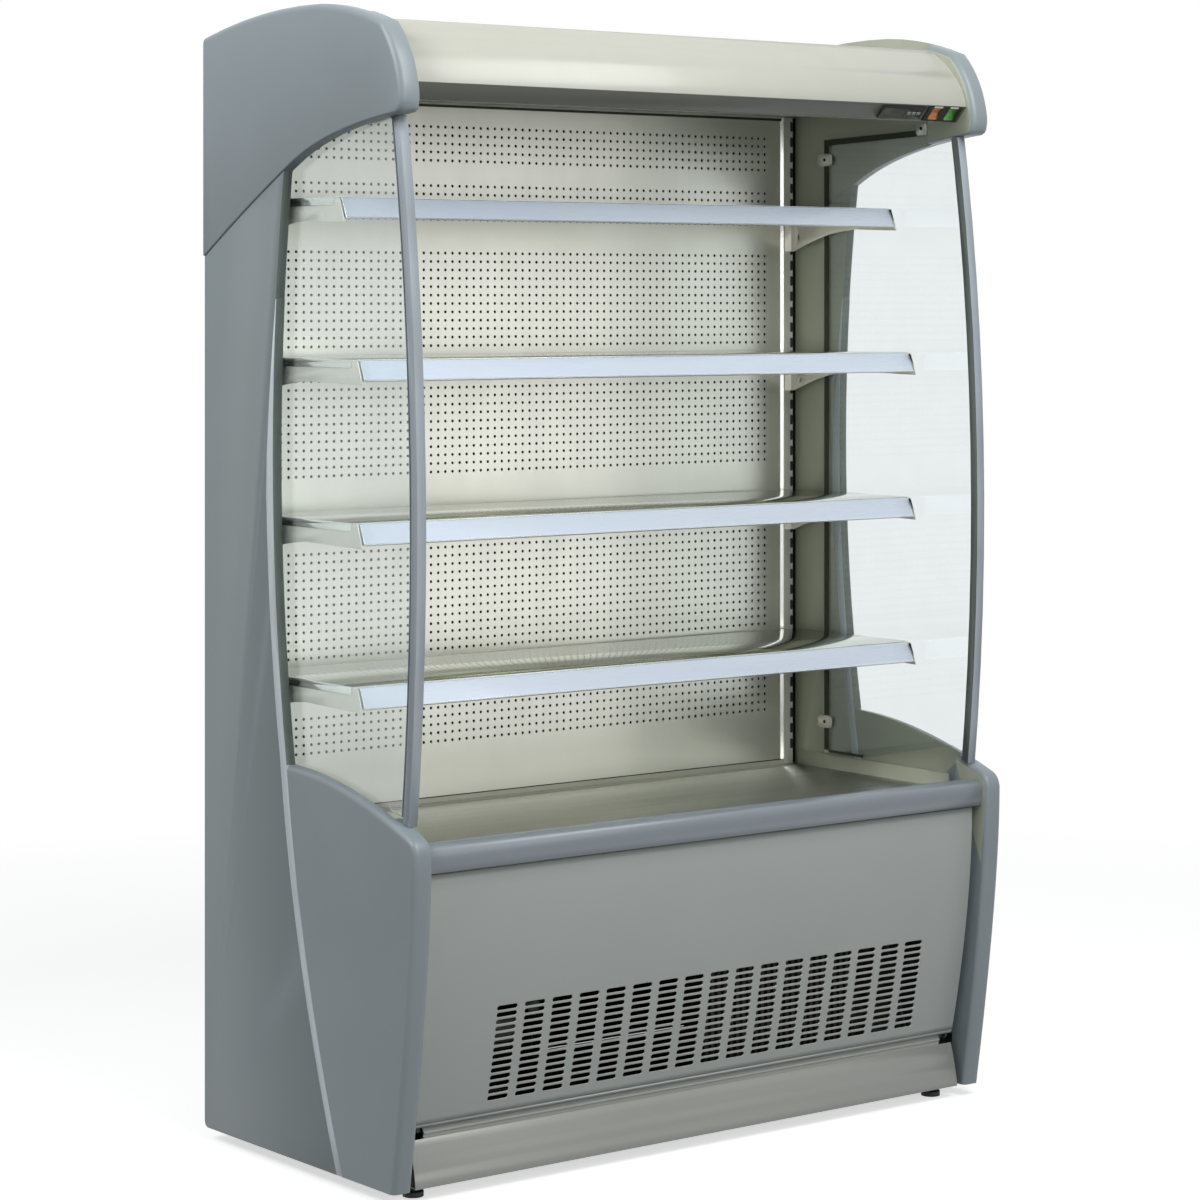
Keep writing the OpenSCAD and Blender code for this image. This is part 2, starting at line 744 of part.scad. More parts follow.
cond_fan_pos = [250, sy(150) + 60 + 30, sz(62) + 126];
module condenser_fan_mount() {
  color([0.2, 0.2, 0.21])
  translate(cond_fan_pos) {
    difference() {
      union() {
        translate([-160, -29.7, -125]) cube([320, 3, 245]);
        rotate([-90, 0, 0]) translate([0, 0, -29.7]) cylinder(h = 50, r = cond_fan_r + 10);
      }
      rotate([-90, 0, 0]) translate([0, 0, -31]) cylinder(h = 60, r = cond_fan_r + 6);
    }
    difference() {
      union() {
        for (a = [45, 135])
          rotate([0, a, 0]) translate([-cond_fan_r - 8, 12, -5]) cube([2 * cond_fan_r + 16, 8, 10]);
        rotate([-90, 0, 0]) translate([0, 0, 12]) cylinder(h = 46, r = 30);
      }
      rotate([-90, 0, 0]) translate([0, 0, 10]) cylinder(h = 26, r = shaft_r + run);
    }
  }
}

module fan(r, depth, blades) {
  union() {
    rotate([-90, 0, 0]) cylinder(h = depth, r = r * 0.3);
    rotate([-90, 0, 0]) translate([0, 0, depth]) cylinder(h = 24, r = shaft_r);
    intersection() {
      rotate([-90, 0, 0]) cylinder(h = depth, r = r);
      for (k = [0 : blades - 1])
        rotate([0, k * 360 / blades, 0])
          translate([r * 0.2, depth / 2, 0])
            rotate([28, 0, 0])
              translate([0, -1.2, -r * 0.3]) cube([r, 2.4, r * 0.6]);
    }
  }
}
module condenser_fan() {
  color([0.15, 0.15, 0.16])
  translate(cond_fan_pos + [0, -18, 0]) fan(cond_fan_r, 26, 5);
}

module evaporator() {
  n = floor((2 * inner_x - 140 - 24) / fin_pitch);
  color([0.78, 0.80, 0.82])
  difference() {
    block(-inner_x + 70, inner_x - 70, 340, 520, 412.3, 536);
    for (i = [0 : n - 1])
      translate([-inner_x + 82 + i * fin_pitch, sy(341), sz(418)])
        cube([fin_pitch - 3, sy(500) - sy(341), case_h]);
  }
}

evap_fan_x = 300;
evap_z = 489;
module evaporator_fan_plate() {
  color([0.72, 0.73, 0.73]) {
    difference() {
      block(-inner_x + 25 + fit, inner_x - 25 - fit, 250, 252, 412.3, 566);
      for (x = [-evap_fan_x, evap_fan_x])
        translate([x, sy(246), sz(evap_z)]) rotate([-90, 0, 0]) cylinder(h = 12, r = evap_fan_r + 3);
    }
    for (x = [-evap_fan_x, evap_fan_x])
      translate([x, sy(252), sz(evap_z)])
        rotate([-90, 0, 0]) {
          difference() {
            translate([0, 0, -1]) cylinder(h = 31, r = evap_fan_r + 6);
            translate([0, 0, -2]) cylinder(h = 33, r = evap_fan_r + 3);
          }
          difference() {
            union() {
              for (a = [30, 90, 150])
                rotate([0, 0, a]) translate([-evap_fan_r - 4.5, -3, 23]) cube([2 * evap_fan_r + 9, 6, 6]);
              translate([0, 0, 22]) cylinder(h = 34, r = 18);
            }
            translate([0, 0, 20]) cylinder(h = 26, r = shaft_r + run);
          }
        }
  }
}
module evaporator_fan(x) {
  color([0.2, 0.2, 0.21])
  translate([x, sy(252), sz(evap_z)]) fan(evap_fan_r, 20, 5);
}

module foot(x, s) {
  color([0.08, 0.08, 0.08])
  translate([x, sy(s), 0]) {
    cylinder(h = foot_h, d = foot_d);
    translate([0, 0, foot_h]) cylinder(h = 6, r = stem_r * 1.7, $fn = 6);
    cylinder(h = sz(62), r = stem_r);
  }
}

base_frame();
kick_plate();
kick_rail();
back_wall();
inner_tub();
roof_panel();
ceiling_panel();
rear_grille();
on_right(false) side_panel();  // left_side_panel
on_right(true) side_panel();  // right_side_panel
on_right(false) cheek();  // left_cheek
on_right(true) cheek();  // right_cheek
accent_strips();
on_right(false) end_cap();  // left_end_cap
on_right(true) end_cap();  // right_end_cap
on_right(false) side_glass();  // left_glass
on_right(true) side_glass();  // right_glass
on_right(false) post();  // left_post
on_right(true) post();  // right_post
glass_clips();
uprights();
back_panel();
deck_tray();
return_grille();
bumper();
canopy();
air_honeycomb();
lamp_tube();
lamp_holders();
controller();
key(0);  // key_1
key(1);  // key_2
key(2);  // key_3
switch_frame();
orange_rocker();
green_rocker();
shelf(0);  // shelf_1
shelf(1);  // shelf_2
shelf(2);  // shelf_3
shelf(3);  // shelf_4
rail(0);  // rail_1
rail(1);  // rail_2
rail(2);  // rail_3
rail(3);  // rail_4
on_right(false) brackets();  // left_brackets
on_right(true) brackets();  // right_brackets
front_panel();
panel_hooks();
compressor();
condenser();
condenser_fan_mount();
condenser_fan();
evaporator();
evaporator_fan_plate();
evaporator_fan(-evap_fan_x);  // evaporator_fan_left
evaporator_fan(evap_fan_x);  // evaporator_fan_right
foot(-foot_x, 113.6);  // foot_front_left
foot(foot_x, 113.6);  // foot_front_right
foot(-foot_x, 606);  // foot_rear_left
foot(foot_x, 606);  // foot_rear_right
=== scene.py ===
"""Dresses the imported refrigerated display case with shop-floor finishes and sets the studio around it."""
import math

import bmesh
import bpy
from bpy.props import FloatProperty, IntProperty, PointerProperty
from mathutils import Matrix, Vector


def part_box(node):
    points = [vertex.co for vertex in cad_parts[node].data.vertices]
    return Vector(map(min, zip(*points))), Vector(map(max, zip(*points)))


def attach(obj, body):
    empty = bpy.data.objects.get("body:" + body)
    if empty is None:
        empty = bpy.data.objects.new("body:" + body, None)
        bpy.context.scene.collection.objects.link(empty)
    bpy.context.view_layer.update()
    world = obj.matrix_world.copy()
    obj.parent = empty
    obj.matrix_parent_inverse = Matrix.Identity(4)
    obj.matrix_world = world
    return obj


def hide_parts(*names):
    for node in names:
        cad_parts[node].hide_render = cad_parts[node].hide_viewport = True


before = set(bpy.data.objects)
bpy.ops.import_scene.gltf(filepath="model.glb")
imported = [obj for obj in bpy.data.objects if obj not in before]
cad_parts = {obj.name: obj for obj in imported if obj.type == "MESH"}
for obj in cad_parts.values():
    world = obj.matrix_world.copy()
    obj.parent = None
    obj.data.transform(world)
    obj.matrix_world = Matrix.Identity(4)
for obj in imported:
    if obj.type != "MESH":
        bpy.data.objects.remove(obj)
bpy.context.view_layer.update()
MM = 0.001
# depth in millimetres from the front face to the frame's y = 0
MIDDLE = 328
# the shelves hang one step apart, and a step holds this many hook slots
SHELF_STEP = 275
SLOTS_PER_STEP = 9
RAIL_LEAN = math.radians(22.6)
# folds sharper than this stay crisp
CREASE = math.radians(38)
# half length of the strips between the uprights, and their front face's depth
STRIP_HALF = 606.5
BACK_FACE = 560

bl_info = {
    "name": "Refrigerated display case",
    "version": (1, 0, 0),
    "blender": (4, 5, 0),
    "location": "3D View > Sidebar > Display case",
    "description": "Builds the visible pieces of an open-front refrigerated display case",
    "category": "Object",
}


# ---- colours and materials ----

def linear(hex_colour):
    """sRGB hex to scene-linear RGBA."""
    parts = [int(hex_colour[i:i + 2], 16) / 255 for i in (0, 2, 4)]
    levels = [p / 12.92 if p <= 0.04045 else ((p + 0.055) / 1.055) ** 2.4 for p in parts]
    return (*levels, 1.0)


def shaded(hex_colour, factor):
    """The same colour made lighter or darker, still scene-linear."""
    return tuple(min(1.0, c * factor) for c in linear(hex_colour)[:3]) + (1.0,)


def at(x, s, z):
    """Cabinet millimetres (across, depth from the front face, height) to the frame's metres."""
    return Vector((x * MM, (s - MIDDLE) * MM, z * MM))


def fill(tree, node, inputs):
    """Each input of the node takes its constant, or a link where another node's output is given."""
    for socket, value in inputs.items():
        if isinstance(value, bpy.types.NodeSocket):
            tree.links.new(value, node.inputs[socket])
        else:
            node.inputs[socket].default_value = value
    return node


def add_node(tree, kind, inputs, **settings):
    """Adds a shader node with its settings, constants and links."""
    made = tree.nodes.new("ShaderNode" + kind)
    for name, value in settings.items():
        setattr(made, name, value)
    return fill(tree, made, inputs)


def surface(name, colour, rough, metal=0.0, coat=0.0, vary=0.03, blotch=60, grain=1.2, relief=0.02,
            stretch=(1, 1, 1), rough_vary=0.04, specular=0.5):
    """A finish: the colour drifts by vary over blotch, and grain drives the roughness and a fine relief.

    blotch, grain and relief are millimetres."""
    made = bpy.data.materials.get(name)
    if made:
        return made
    made = bpy.data.materials.new(name)
    made.use_nodes = True
    tree = made.node_tree
    place = add_node(tree, "TexCoord", {}).outputs["Object"]
    vector = add_node(tree, "Mapping", {"Vector": place, "Scale": stretch}).outputs["Vector"]
    # noise keeps near 0.5, so its middle is spread over the whole range
    middle = {"From Min": 0.3, "From Max": 0.7}
    drift = add_node(tree, "TexNoise", {"Vector": vector, "Scale": 1 / (blotch * MM), "Detail": 3.0})
    tint = add_node(tree, "MapRange", {"Value": drift.outputs["Fac"], **middle})
    shade = add_node(tree, "Mix", {"Factor": tint.outputs["Result"], "A": shaded(colour, 1 - vary),
                                   "B": shaded(colour, 1 + vary)}, data_type="RGBA")
    fine = add_node(tree, "TexNoise", {"Vector": vector, "Scale": 1 / (grain * MM), "Detail": 2.0})
    polish = add_node(tree, "MapRange", {"Value": fine.outputs["Fac"], **middle, "To Min": rough - rough_vary,
                                         "To Max": rough + rough_vary})
    bump = add_node(tree, "Bump", {"Strength": 1.0, "Distance": relief * MM, "Height": fine.outputs["Fac"]})
    fill(tree, tree.nodes["Principled BSDF"], {
        "Metallic": metal, "Coat Weight": coat, "Coat Roughness": 0.12, "Specular IOR Level": specular,
        "Base Color": shade.outputs["Result"], "Roughness": polish.outputs["Result"],
        "Normal": bump.outputs["Normal"]})
    return made


def clear_glass(name, tint, rough=0.02):
    """Float glass: nearly colourless through the pane; the tint shows along the edges."""
    made = surface(name, tint, rough, vary=0.01, relief=0.0005, grain=30, rough_vary=0.01)
    tree = made.node_tree
    fill(tree, tree.nodes["Principled BSDF"], {"Transmission Weight": 1.0, "IOR": 1.5})
    return made


# real material and finish: what it gives the eye
FINISHES = {
    # powder coat on steel sheet over foam: even satin grey with a faint orange peel
    "side_powder_coat_grey": dict(colour="8C979A", rough=0.44, grain=1.5, relief=0.012,
                                  vary=0.025, blotch=220),
    # the same grey as a moulded, slightly softer skin on cheeks and end caps
    "moulded_satin_grey": dict(colour="8C979C", rough=0.38, grain=0.9, relief=0.01, coat=0.12,
                               blotch=160),
    # inner lining of the ends: coated sheet, olive and duller than outside
    "liner_coat_olive": dict(colour="B4B9A7", rough=0.32, grain=1.5, relief=0.012, vary=0.04,
                             blotch=150),
    # cut edge of the window: the same coat, darkened as painted shade
    "window_edge_painted_shade": dict(colour="6E7973", rough=0.42),
    # the light strip along the side: pale satin plastic
    "strip_pale_satin": dict(colour="DCE5EB", rough=0.35, grain=1, relief=0.005),
    # front posts: plain satin paint, a shade bluer than the sides
    "post_satin_blue_grey": dict(colour="A5AEB5", rough=0.5, specular=0.35, grain=0.6, relief=0.006),
    # painted shade on the posts' inner faces: a dull darker grey
    "post_inner_painted_shade": dict(colour="6B7370", rough=0.6, specular=0.3, grain=0.8, relief=0.02),
    # back panel: rolled stainless with a cream cast; it mirrors the bright surroundings softly
    "back_rolled_stainless": dict(colour="E2E3D9", rough=0.3, metal=0.8, vary=0.04, blotch=190,
                                  grain=30, relief=0.001, stretch=(1, 1, 0.3),
                                  rough_vary=0.02),
    # cream coat of the foot strip and the small folds
    "cream_coat": dict(colour="CFCFC2", rough=0.4),
    # uprights: pale coat with a little metal in it, which lifts their folds
    "upright_coat_grey": dict(colour="D8DBD2", rough=0.34, metal=0.25, blotch=90),
    # painted shade, near black: the inside of the air duct and everything cut into the liner
    "painted_shade_dark": dict(colour="2A2B28", rough=0.6),
    # brushed stainless deck: fine lines along X that drag the reflections
    "deck_brushed_stainless": dict(colour="D2D3CC", rough=0.34, metal=1.0, stretch=(0.03, 1, 1),
                                   grain=0.6, relief=0.012, rough_vary=0.08, vary=0.06,
                                   blotch=14),
    # shelf trays: polished stainless, which mirrors the back panel and the white hall
    "polished_stainless": dict(colour="DEE0D8", rough=0.13, metal=1.0, vary=0.03, blotch=120,
                               grain=0.8, relief=0.003, rough_vary=0.03),
    # bracket plates and clips: cream coat, a soft sheen along the folds
    "bracket_satin_cream": dict(colour="EAE8DC", rough=0.36, metal=0.3, grain=0.8, relief=0.003),
    # dark olive-black strips along the panes' edges
    "pane_edge_dark_olive": dict(colour="3D4134", rough=0.6, specular=0.3, grain=0.8, relief=0.02),
    # painted highlight: brighter, smoother stainless on folds and rounded edges
    "painted_edge_highlight": dict(colour="F0F1EC", rough=0.22, metal=1.0),
    # price rail: extruded pale blue plastic, drawn lines along X
    "rail_extruded_pale_blue": dict(colour="D6E1EF", rough=0.3, stretch=(0.02, 1, 1), grain=0.8,
                                    coat=0.15, vary=0.02),
    # bumper: blue-grey plastic section with drawn sheen
    "bumper_extruded_blue_grey": dict(colour="8B939B", rough=0.34, stretch=(0.02, 1, 1),
                                      grain=0.9, coat=0.2),
    # canopy: cream-white coat, smooth
    "canopy_coat_cream": dict(colour="BCBDB2", rough=0.32, grain=1.5, relief=0.008,
                              coat=0.15, vary=0.015),
    # ceiling and lamp housing: white coat
    "ceiling_coat_white": dict(colour="C8CAC2", rough=0.42),
    # control face under the canopy: grey-olive film
    "control_face_grey": dict(colour="5E6056", rough=0.42),
    # front panel: silver metallic paint, fine flake
    "panel_silver_paint": dict(colour="B8BDBA", rough=0.42, specular=0.35, grain=0.5,
                               relief=0.004, vary=0.02, blotch=200),
    # pressed rims of the louvre slots: a painted sheen, slightly metallic and smoother than the panel
    "louvre_rim_painted_sheen": dict(colour="B4B8AE", rough=0.36, metal=0.2, grain=0.5),
    # kick plate: brushed sheet under clear coat
    "kick_brushed_sheet": dict(colour="A3A6A0", rough=0.38, metal=0.1, stretch=(0.03, 1, 1),
                               grain=0.6, vary=0.04, blotch=20),
    # black moulded plastic: hooks, fans, screw caps
    "black_moulded_plastic": dict(colour="17181A", rough=0.42, grain=0.8, relief=0.02),
    # controller housing and its smoked window
    "controller_charcoal": dict(colour="1C1E18", rough=0.5, specular=0.25, grain=0.8),
    "display_smoked": dict(colour="3A3D35", rough=0.3, specular=0.3),
    # dark coated wire and grille
    "grille_dark_coat": dict(colour="3B3D3A", rough=0.5),
    # base frame: dark powder coat
    "frame_dark_coat": dict(colour="2C2E2F", rough=0.5, grain=1.5, relief=0.03),
    # shade of the machine space behind the louvres
    "machine_space_black": dict(colour="1C1E18", rough=0.7, specular=0.2),
    # galvanised sheet at the rear
    "galvanised_sheet": dict(colour="A7ABAA", rough=0.42, metal=0.7, vary=0.12, blotch=14),
    # condenser fins, darkened as painted shade of the machine space, and the clean fins of the evaporator
    "fin_aluminium_painted_shade": dict(colour="3A3B36", rough=0.6, metal=0.3, vary=0.15, blotch=40),
    "fin_aluminium": dict(colour="B7B9BA", rough=0.35, metal=1.0),
    # compressor shell: thick glossy black paint
    "compressor_black_gloss": dict(colour="101113", rough=0.3, coat=0.3, grain=3, relief=0.05),
    # orange and green rockers: glossy coloured plastic, with a painted highlight on the end that faces the
    # light
    "rocker_orange_gloss": dict(colour="C0700A", rough=0.25, coat=0.4),
    "rocker_orange_lit": dict(colour="FFB64C", rough=0.25, coat=0.4),
    "rocker_green_gloss": dict(colour="3E9A1E", rough=0.25, coat=0.4),
    "rocker_green_lit": dict(colour="BDF09A", rough=0.25, coat=0.4),
    # bare white bars above the switches
    "label_white_film": dict(colour="F2F2EC", rough=0.4),
    # small grey keys
    "key_grey_plastic": dict(colour="8A8D88", rough=0.35),
    # lamp: white coated glass tube
    "lamp_white_glass": dict(colour="F4F4EE", rough=0.25),
    # foot discs: black rubbery plastic
    "foot_black_rubber": dict(colour="141415", rough=0.6),
}


def finish(name):
    return surface(name, **FINISHES[name])


# ---- geometry helpers ----

def new_object(name, mesh):
    made = bpy.data.objects.new(name, mesh)
    bpy.context.scene.collection.objects.link(made)
    return made


def from_bmesh(name, bm, *materials):
    """A mesh object from bmesh, its normals outward, with its materials."""
    bmesh.ops.recalc_face_normals(bm, faces=bm.faces)
    mesh = bpy.data.meshes.new(name)
    bm.to_mesh(mesh)
    bm.free()
    for material in materials:
        mesh.materials.append(material)
    return new_object(name, mesh)


def bake_modifiers(piece):
    """The piece's modifiers become part of its mesh."""
    graph = bpy.context.evaluated_depsgraph_get()
    baked = bpy.data.meshes.new_from_object(piece.evaluated_get(graph), depsgraph=graph)
    piece.modifiers.clear()
    piece.data = baked


def soften(piece, width, edge_slot=-1):
    """Rounds sharp edges by width millimetres and shades smooth; edge_slot is the rounding's material."""
    bevel = piece.modifiers.new("edges", "BEVEL")
    bevel.width = width * MM
    bevel.segments = 2
    bevel.limit_method = "ANGLE"
    bevel.angle_limit = CREASE
    bevel.harden_normals = True
    bevel.material = edge_slot
    piece.data.shade_smooth()
    bake_modifiers(piece)
    piece.data.set_sharp_from_angle(angle=CREASE)


def add_prism(bm, way, outline):
    """Adds a straight prism: a closed outline of points, and the same outline moved by way."""
    near = [bm.verts.new(p) for p in outline]
    far = [bm.verts.new(p + way) for p in outline]
    count = len(outline)
    for k in range(count):
        j = (k + 1) % count
        bm.faces.new((near[k], near[j], far[j], far[k]))
    bm.faces.new(near[::-1])
    bm.faces.new(far)


def prisms(shapes):
    """A bmesh of straight prisms; each shape is (way, outline)."""
    bm = bmesh.new()
    for way, outline in shapes:
        add_prism(bm, way, outline)
    return bm


def straight_pieces(name, shapes, material):
    """One object of straight prisms in one finish."""
    return from_bmesh(name, prisms(shapes), finish(material))


def section(name, outline, half, material, edge):
    """A straight section from -half to half across, with a closed side outline of (depth, height)."""
    way = Vector((2 * half * MM, 0, 0))
    piece = straight_pieces(name, [(way, [at(-half, s, z) for s, z in outline])], material)
    if edge:
        soften(piece, edge)
    return place(piece)


def clipped(a, b, half_a, half_b, corner):
    """Outline of a plate around (a, b) with its four corners cut off."""
    inner_a, inner_b = half_a - corner, half_b - corner
    offsets = ((-half_a, -inner_b), (-inner_a, -half_b), (inner_a, -half_b), (half_a, -inner_b),
               (half_a, inner_b), (inner_a, half_b), (-inner_a, half_b), (-half_a, inner_b))
    return [(a + p, b + q) for p, q in offsets]


def oval(s, z, across, high, sides=12):
    """Outline of an oval around (s, z) with half axes across and high."""
    turns = [2 * math.pi * k / sides for k in range(sides)]
    return [(s + across * math.cos(a), z + high * math.sin(a)) for a in turns]


def carve(piece, shapes):
    """Takes straight prisms away from the piece."""
    tool = from_bmesh("cutting_shapes", prisms(shapes))
    cut = piece.modifiers.new("holes", "BOOLEAN")
    cut.operation = "DIFFERENCE"
    cut.solver = "EXACT"
    cut.object = tool
    bake_modifiers(piece)
    bpy.data.objects.remove(tool)


def dress(node, name, material, edge, body="cabinet", faces=(), cuts=None, edge_highlight=None):
    """A refined copy of a CAD solid: flat faces joined, edges rounded, finish applied; it replaces the solid.

    edge is in millimetres; 0 keeps the facets of a moulded form and only shades it smooth. faces lists
    (test on face centre and normal, material) for parts in another finish. cuts lists straight prisms that
    are taken away. edge_highlight is the finish of the rounded edges, a painted highlight."""
    bm = bmesh.new()
    bm.from_mesh(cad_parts[node].data)
    bmesh.ops.remove_doubles(bm, verts=bm.verts, dist=1e-5)
    if edge:
        bmesh.ops.dissolve_limit(bm, angle_limit=math.radians(0.5), verts=bm.verts, edges=bm.edges)
    for face in bm.faces:
        centre, normal = face.calc_center_median(), face.normal
        matching = (k + 1 for k, (test, _) in enumerate(faces) if test(centre, normal))
        face.material_index = next(matching, 0)
    mesh = bpy.data.meshes.new(name)
    bm.to_mesh(mesh)
    bm.free()
    if "custom_normal" in mesh.attributes:
        mesh.attributes.remove(mesh.attributes["custom_normal"])
    for each in [material] + [m for _, m in faces]:
        mesh.materials.append(finish(each) if isinstance(each, str) else each)
    piece = new_object(name, mesh)
    if cuts:
        carve(piece, cuts)
    if edge_highlight:
        piece.data.materials.append(finish(edge_highlight))
    if edge:
        soften(piece, edge, len(piece.data.materials) - 1 if edge_highlight else -1)
    else:
        piece.data.shade_smooth()
        piece.data.set_sharp_from_angle(angle=CREASE)
    return place(piece, body, node)


def place(piece, body="cabinet", *nodes):
    """The piece rides on its body and stands for the CAD nodes."""
    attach(piece, body)
    if nodes:
        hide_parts(*nodes)
    return piece


# ---- settings ----

class DisplayCaseSettings(bpy.types.PropertyGroup):
    """Sizes that belong to the looks alone."""

    hole_pitch_x: FloatProperty(
        name="Hole pitch across", description="Spacing of the back panel's hole columns",
        default=16 * MM, unit="LENGTH", subtype="DISTANCE")
    hole_pitch_z: FloatProperty(
        name="Hole pitch up", description="Spacing of the back panel's hole rows",
        default=15.4 * MM, unit="LENGTH", subtype="DISTANCE")
    hole_radius: FloatProperty(
        name="Hole radius", description="Radius of one perforation",
        default=2.9 * MM, unit="LENGTH", subtype="DISTANCE")
    hole_columns: IntProperty(
        name="Hole columns", description="Columns of perforations across the back panel",
        default=71, min=3)
    edge: FloatProperty(
        name="Edge radius", description="Rounding of folded sheet edges",
        default=0.4 * MM, unit="LENGTH", subtype="DISTANCE")
    light: FloatProperty(
        name="Light level", description="Factor on all studio lights", default=1.0, min=0.0)


class PieceOperator:
    """Shared by the operators that build pieces."""

    bl_options = {"REGISTER", "UNDO"}

    def execute(self, context):
        self.build(context.scene.display_case)
        return {"FINISHED"}


class DISPLAYCASE_OT_stage(PieceOperator, bpy.types.Operator):
    """Add the camera, the pale floor and the soft studio lights"""

    bl_idname = "display_case.stage"
    bl_label = "Studio"

    # camera as solved from the photograph: metres, degrees, millimetres, share of the frame
    camera_place = (-3.8139, -4.9020, 1.4951)
    camera_turn = -37.6723
    camera_lens = 102.56
    camera_sensor = 36
    camera_shift = -0.2532
    far_end = 100
    # lamps: name, place, aim, edge length in metres, watts
    lamps = (
        ("overhead_front", (0.1, -2.3, 3.6), (0, 0.2, 1.2), 2.0, 68),
        ("front_softbox", (-0.4, -4.4, 2.1), (0, 0, 1.1), 2.4, 34),
        ("right_reflector", (2.9, -4.2, 0.7), (0, 0.2, 0.9), 1.8, 4),
        ("left_high", (-3.0, 0.2, 3.3), (-0.3, 0, 1.2), 1.8, 60),
    )
    ambient_strength = 0.24
    # floor: half size, radius in metres at which it turns white, and its own glow inside that radius
    floor_half = 12
    fade_radius = 3.6
    near_glow = 0.62

    def build(self, settings):
        camera = bpy.data.objects.new("camera", bpy.data.cameras.new("camera"))
        bpy.context.scene.collection.objects.link(camera)
        camera.location = self.camera_place
        camera.rotation_euler = (math.radians(90), 0, math.radians(self.camera_turn))
        camera.data.lens = self.camera_lens
        camera.data.sensor_width = self.camera_sensor
        camera.data.shift_y = self.camera_shift
        camera.data.clip_end = self.far_end
        bpy.context.scene.camera = camera
        bpy.context.scene.view_settings.view_transform = "Standard"

        bm = bmesh.new()
        bmesh.ops.create_grid(bm, x_segments=2, y_segments=2, size=self.floor_half)
        floor = from_bmesh("studio_floor", bm, self.pale("studio_pale_floor"))
        self.world()
        for name, place, aim, size, power in self.lamps:
            self.lamp(name, place, aim, size, power * settings.light)

    def lamp(self, name, place, aim, size, power):
        data = bpy.data.lights.new(name, "AREA")
        data.shape = "SQUARE"
        data.size = size
        data.energy = power
        made = bpy.data.objects.new(name, data)
        made.location = place
        made.rotation_euler = (Vector(aim) - Vector(place)).to_track_quat("-Z", "Y").to_euler()
        bpy.context.scene.collection.objects.link(made)

    def pale(self, name):
        """Floor, mid-grey for the light it throws back; the eye sees it pale, shadowed, and white far off."""
        made = bpy.data.materials.new(name)
        made.use_nodes = True
        tree = made.node_tree
        lit = fill(tree, tree.nodes["Principled BSDF"], {"Base Color": linear("505050"), "Roughness": 0.9})
        paper = add_node(tree, "BsdfDiffuse", {"Color": linear("E6E6E6")})
        glow = add_node(tree, "Emission", {"Strength": self.near_glow})
        near = add_node(tree, "AddShader", {0: paper.outputs["BSDF"], 1: glow.outputs["Emission"]})
        far = add_node(tree, "Emission", {})
        place = add_node(tree, "TexCoord", {}).outputs["Object"]
        scaled = add_node(tree, "Mapping", {"Vector": place, "Scale": (1 / self.fade_radius,) * 3})
        ball = add_node(tree, "TexGradient", {"Vector": scaled.outputs["Vector"]}, gradient_type="SPHERICAL")
        nearness = add_node(tree, "MapRange", {"Value": ball.outputs["Fac"], "From Max": 0.5})
        shown = add_node(tree, "MixShader", {"Fac": nearness.outputs["Result"], 1: far.outputs["Emission"],
                                             2: near.outputs["Shader"]})
        to_the_eye(tree, lit.outputs["BSDF"], shown.outputs["Shader"], "Material Output")
        return made

    def world(self):
        """Dim cool light from all round, white to the eye."""
        world = bpy.data.worlds.new("studio_world")
        bpy.context.scene.world = world
        world.use_nodes = True
        tree = world.node_tree
        ambient = fill(tree, tree.nodes["Background"],
                       {"Color": linear("F4F7FA"), "Strength": self.ambient_strength})
        white = add_node(tree, "Background", {"Color": linear("FFFFFF"), "Strength": 1.0})
        to_the_eye(tree, ambient.outputs["Background"], white.outputs["Background"], "World Output")


def to_the_eye(tree, lighting, shown, output):
    """Camera, glossy and transmission rays see one shader; rays that carry diffuse light see the other."""
    path = add_node(tree, "LightPath", {})
    direct = path.outputs["Is Camera Ray"]
    for name in ("Is Glossy Ray", "Is Transmission Ray"):
        either = add_node(tree, "Math", {0: direct, 1: path.outputs[name]}, operation="MAXIMUM")
        direct = either.outputs["Value"]
    chosen = add_node(tree, "MixShader", {"Fac": direct, 1: lighting, 2: shown})
    fill(tree, tree.nodes[output], {"Surface": chosen.outputs["Shader"]})


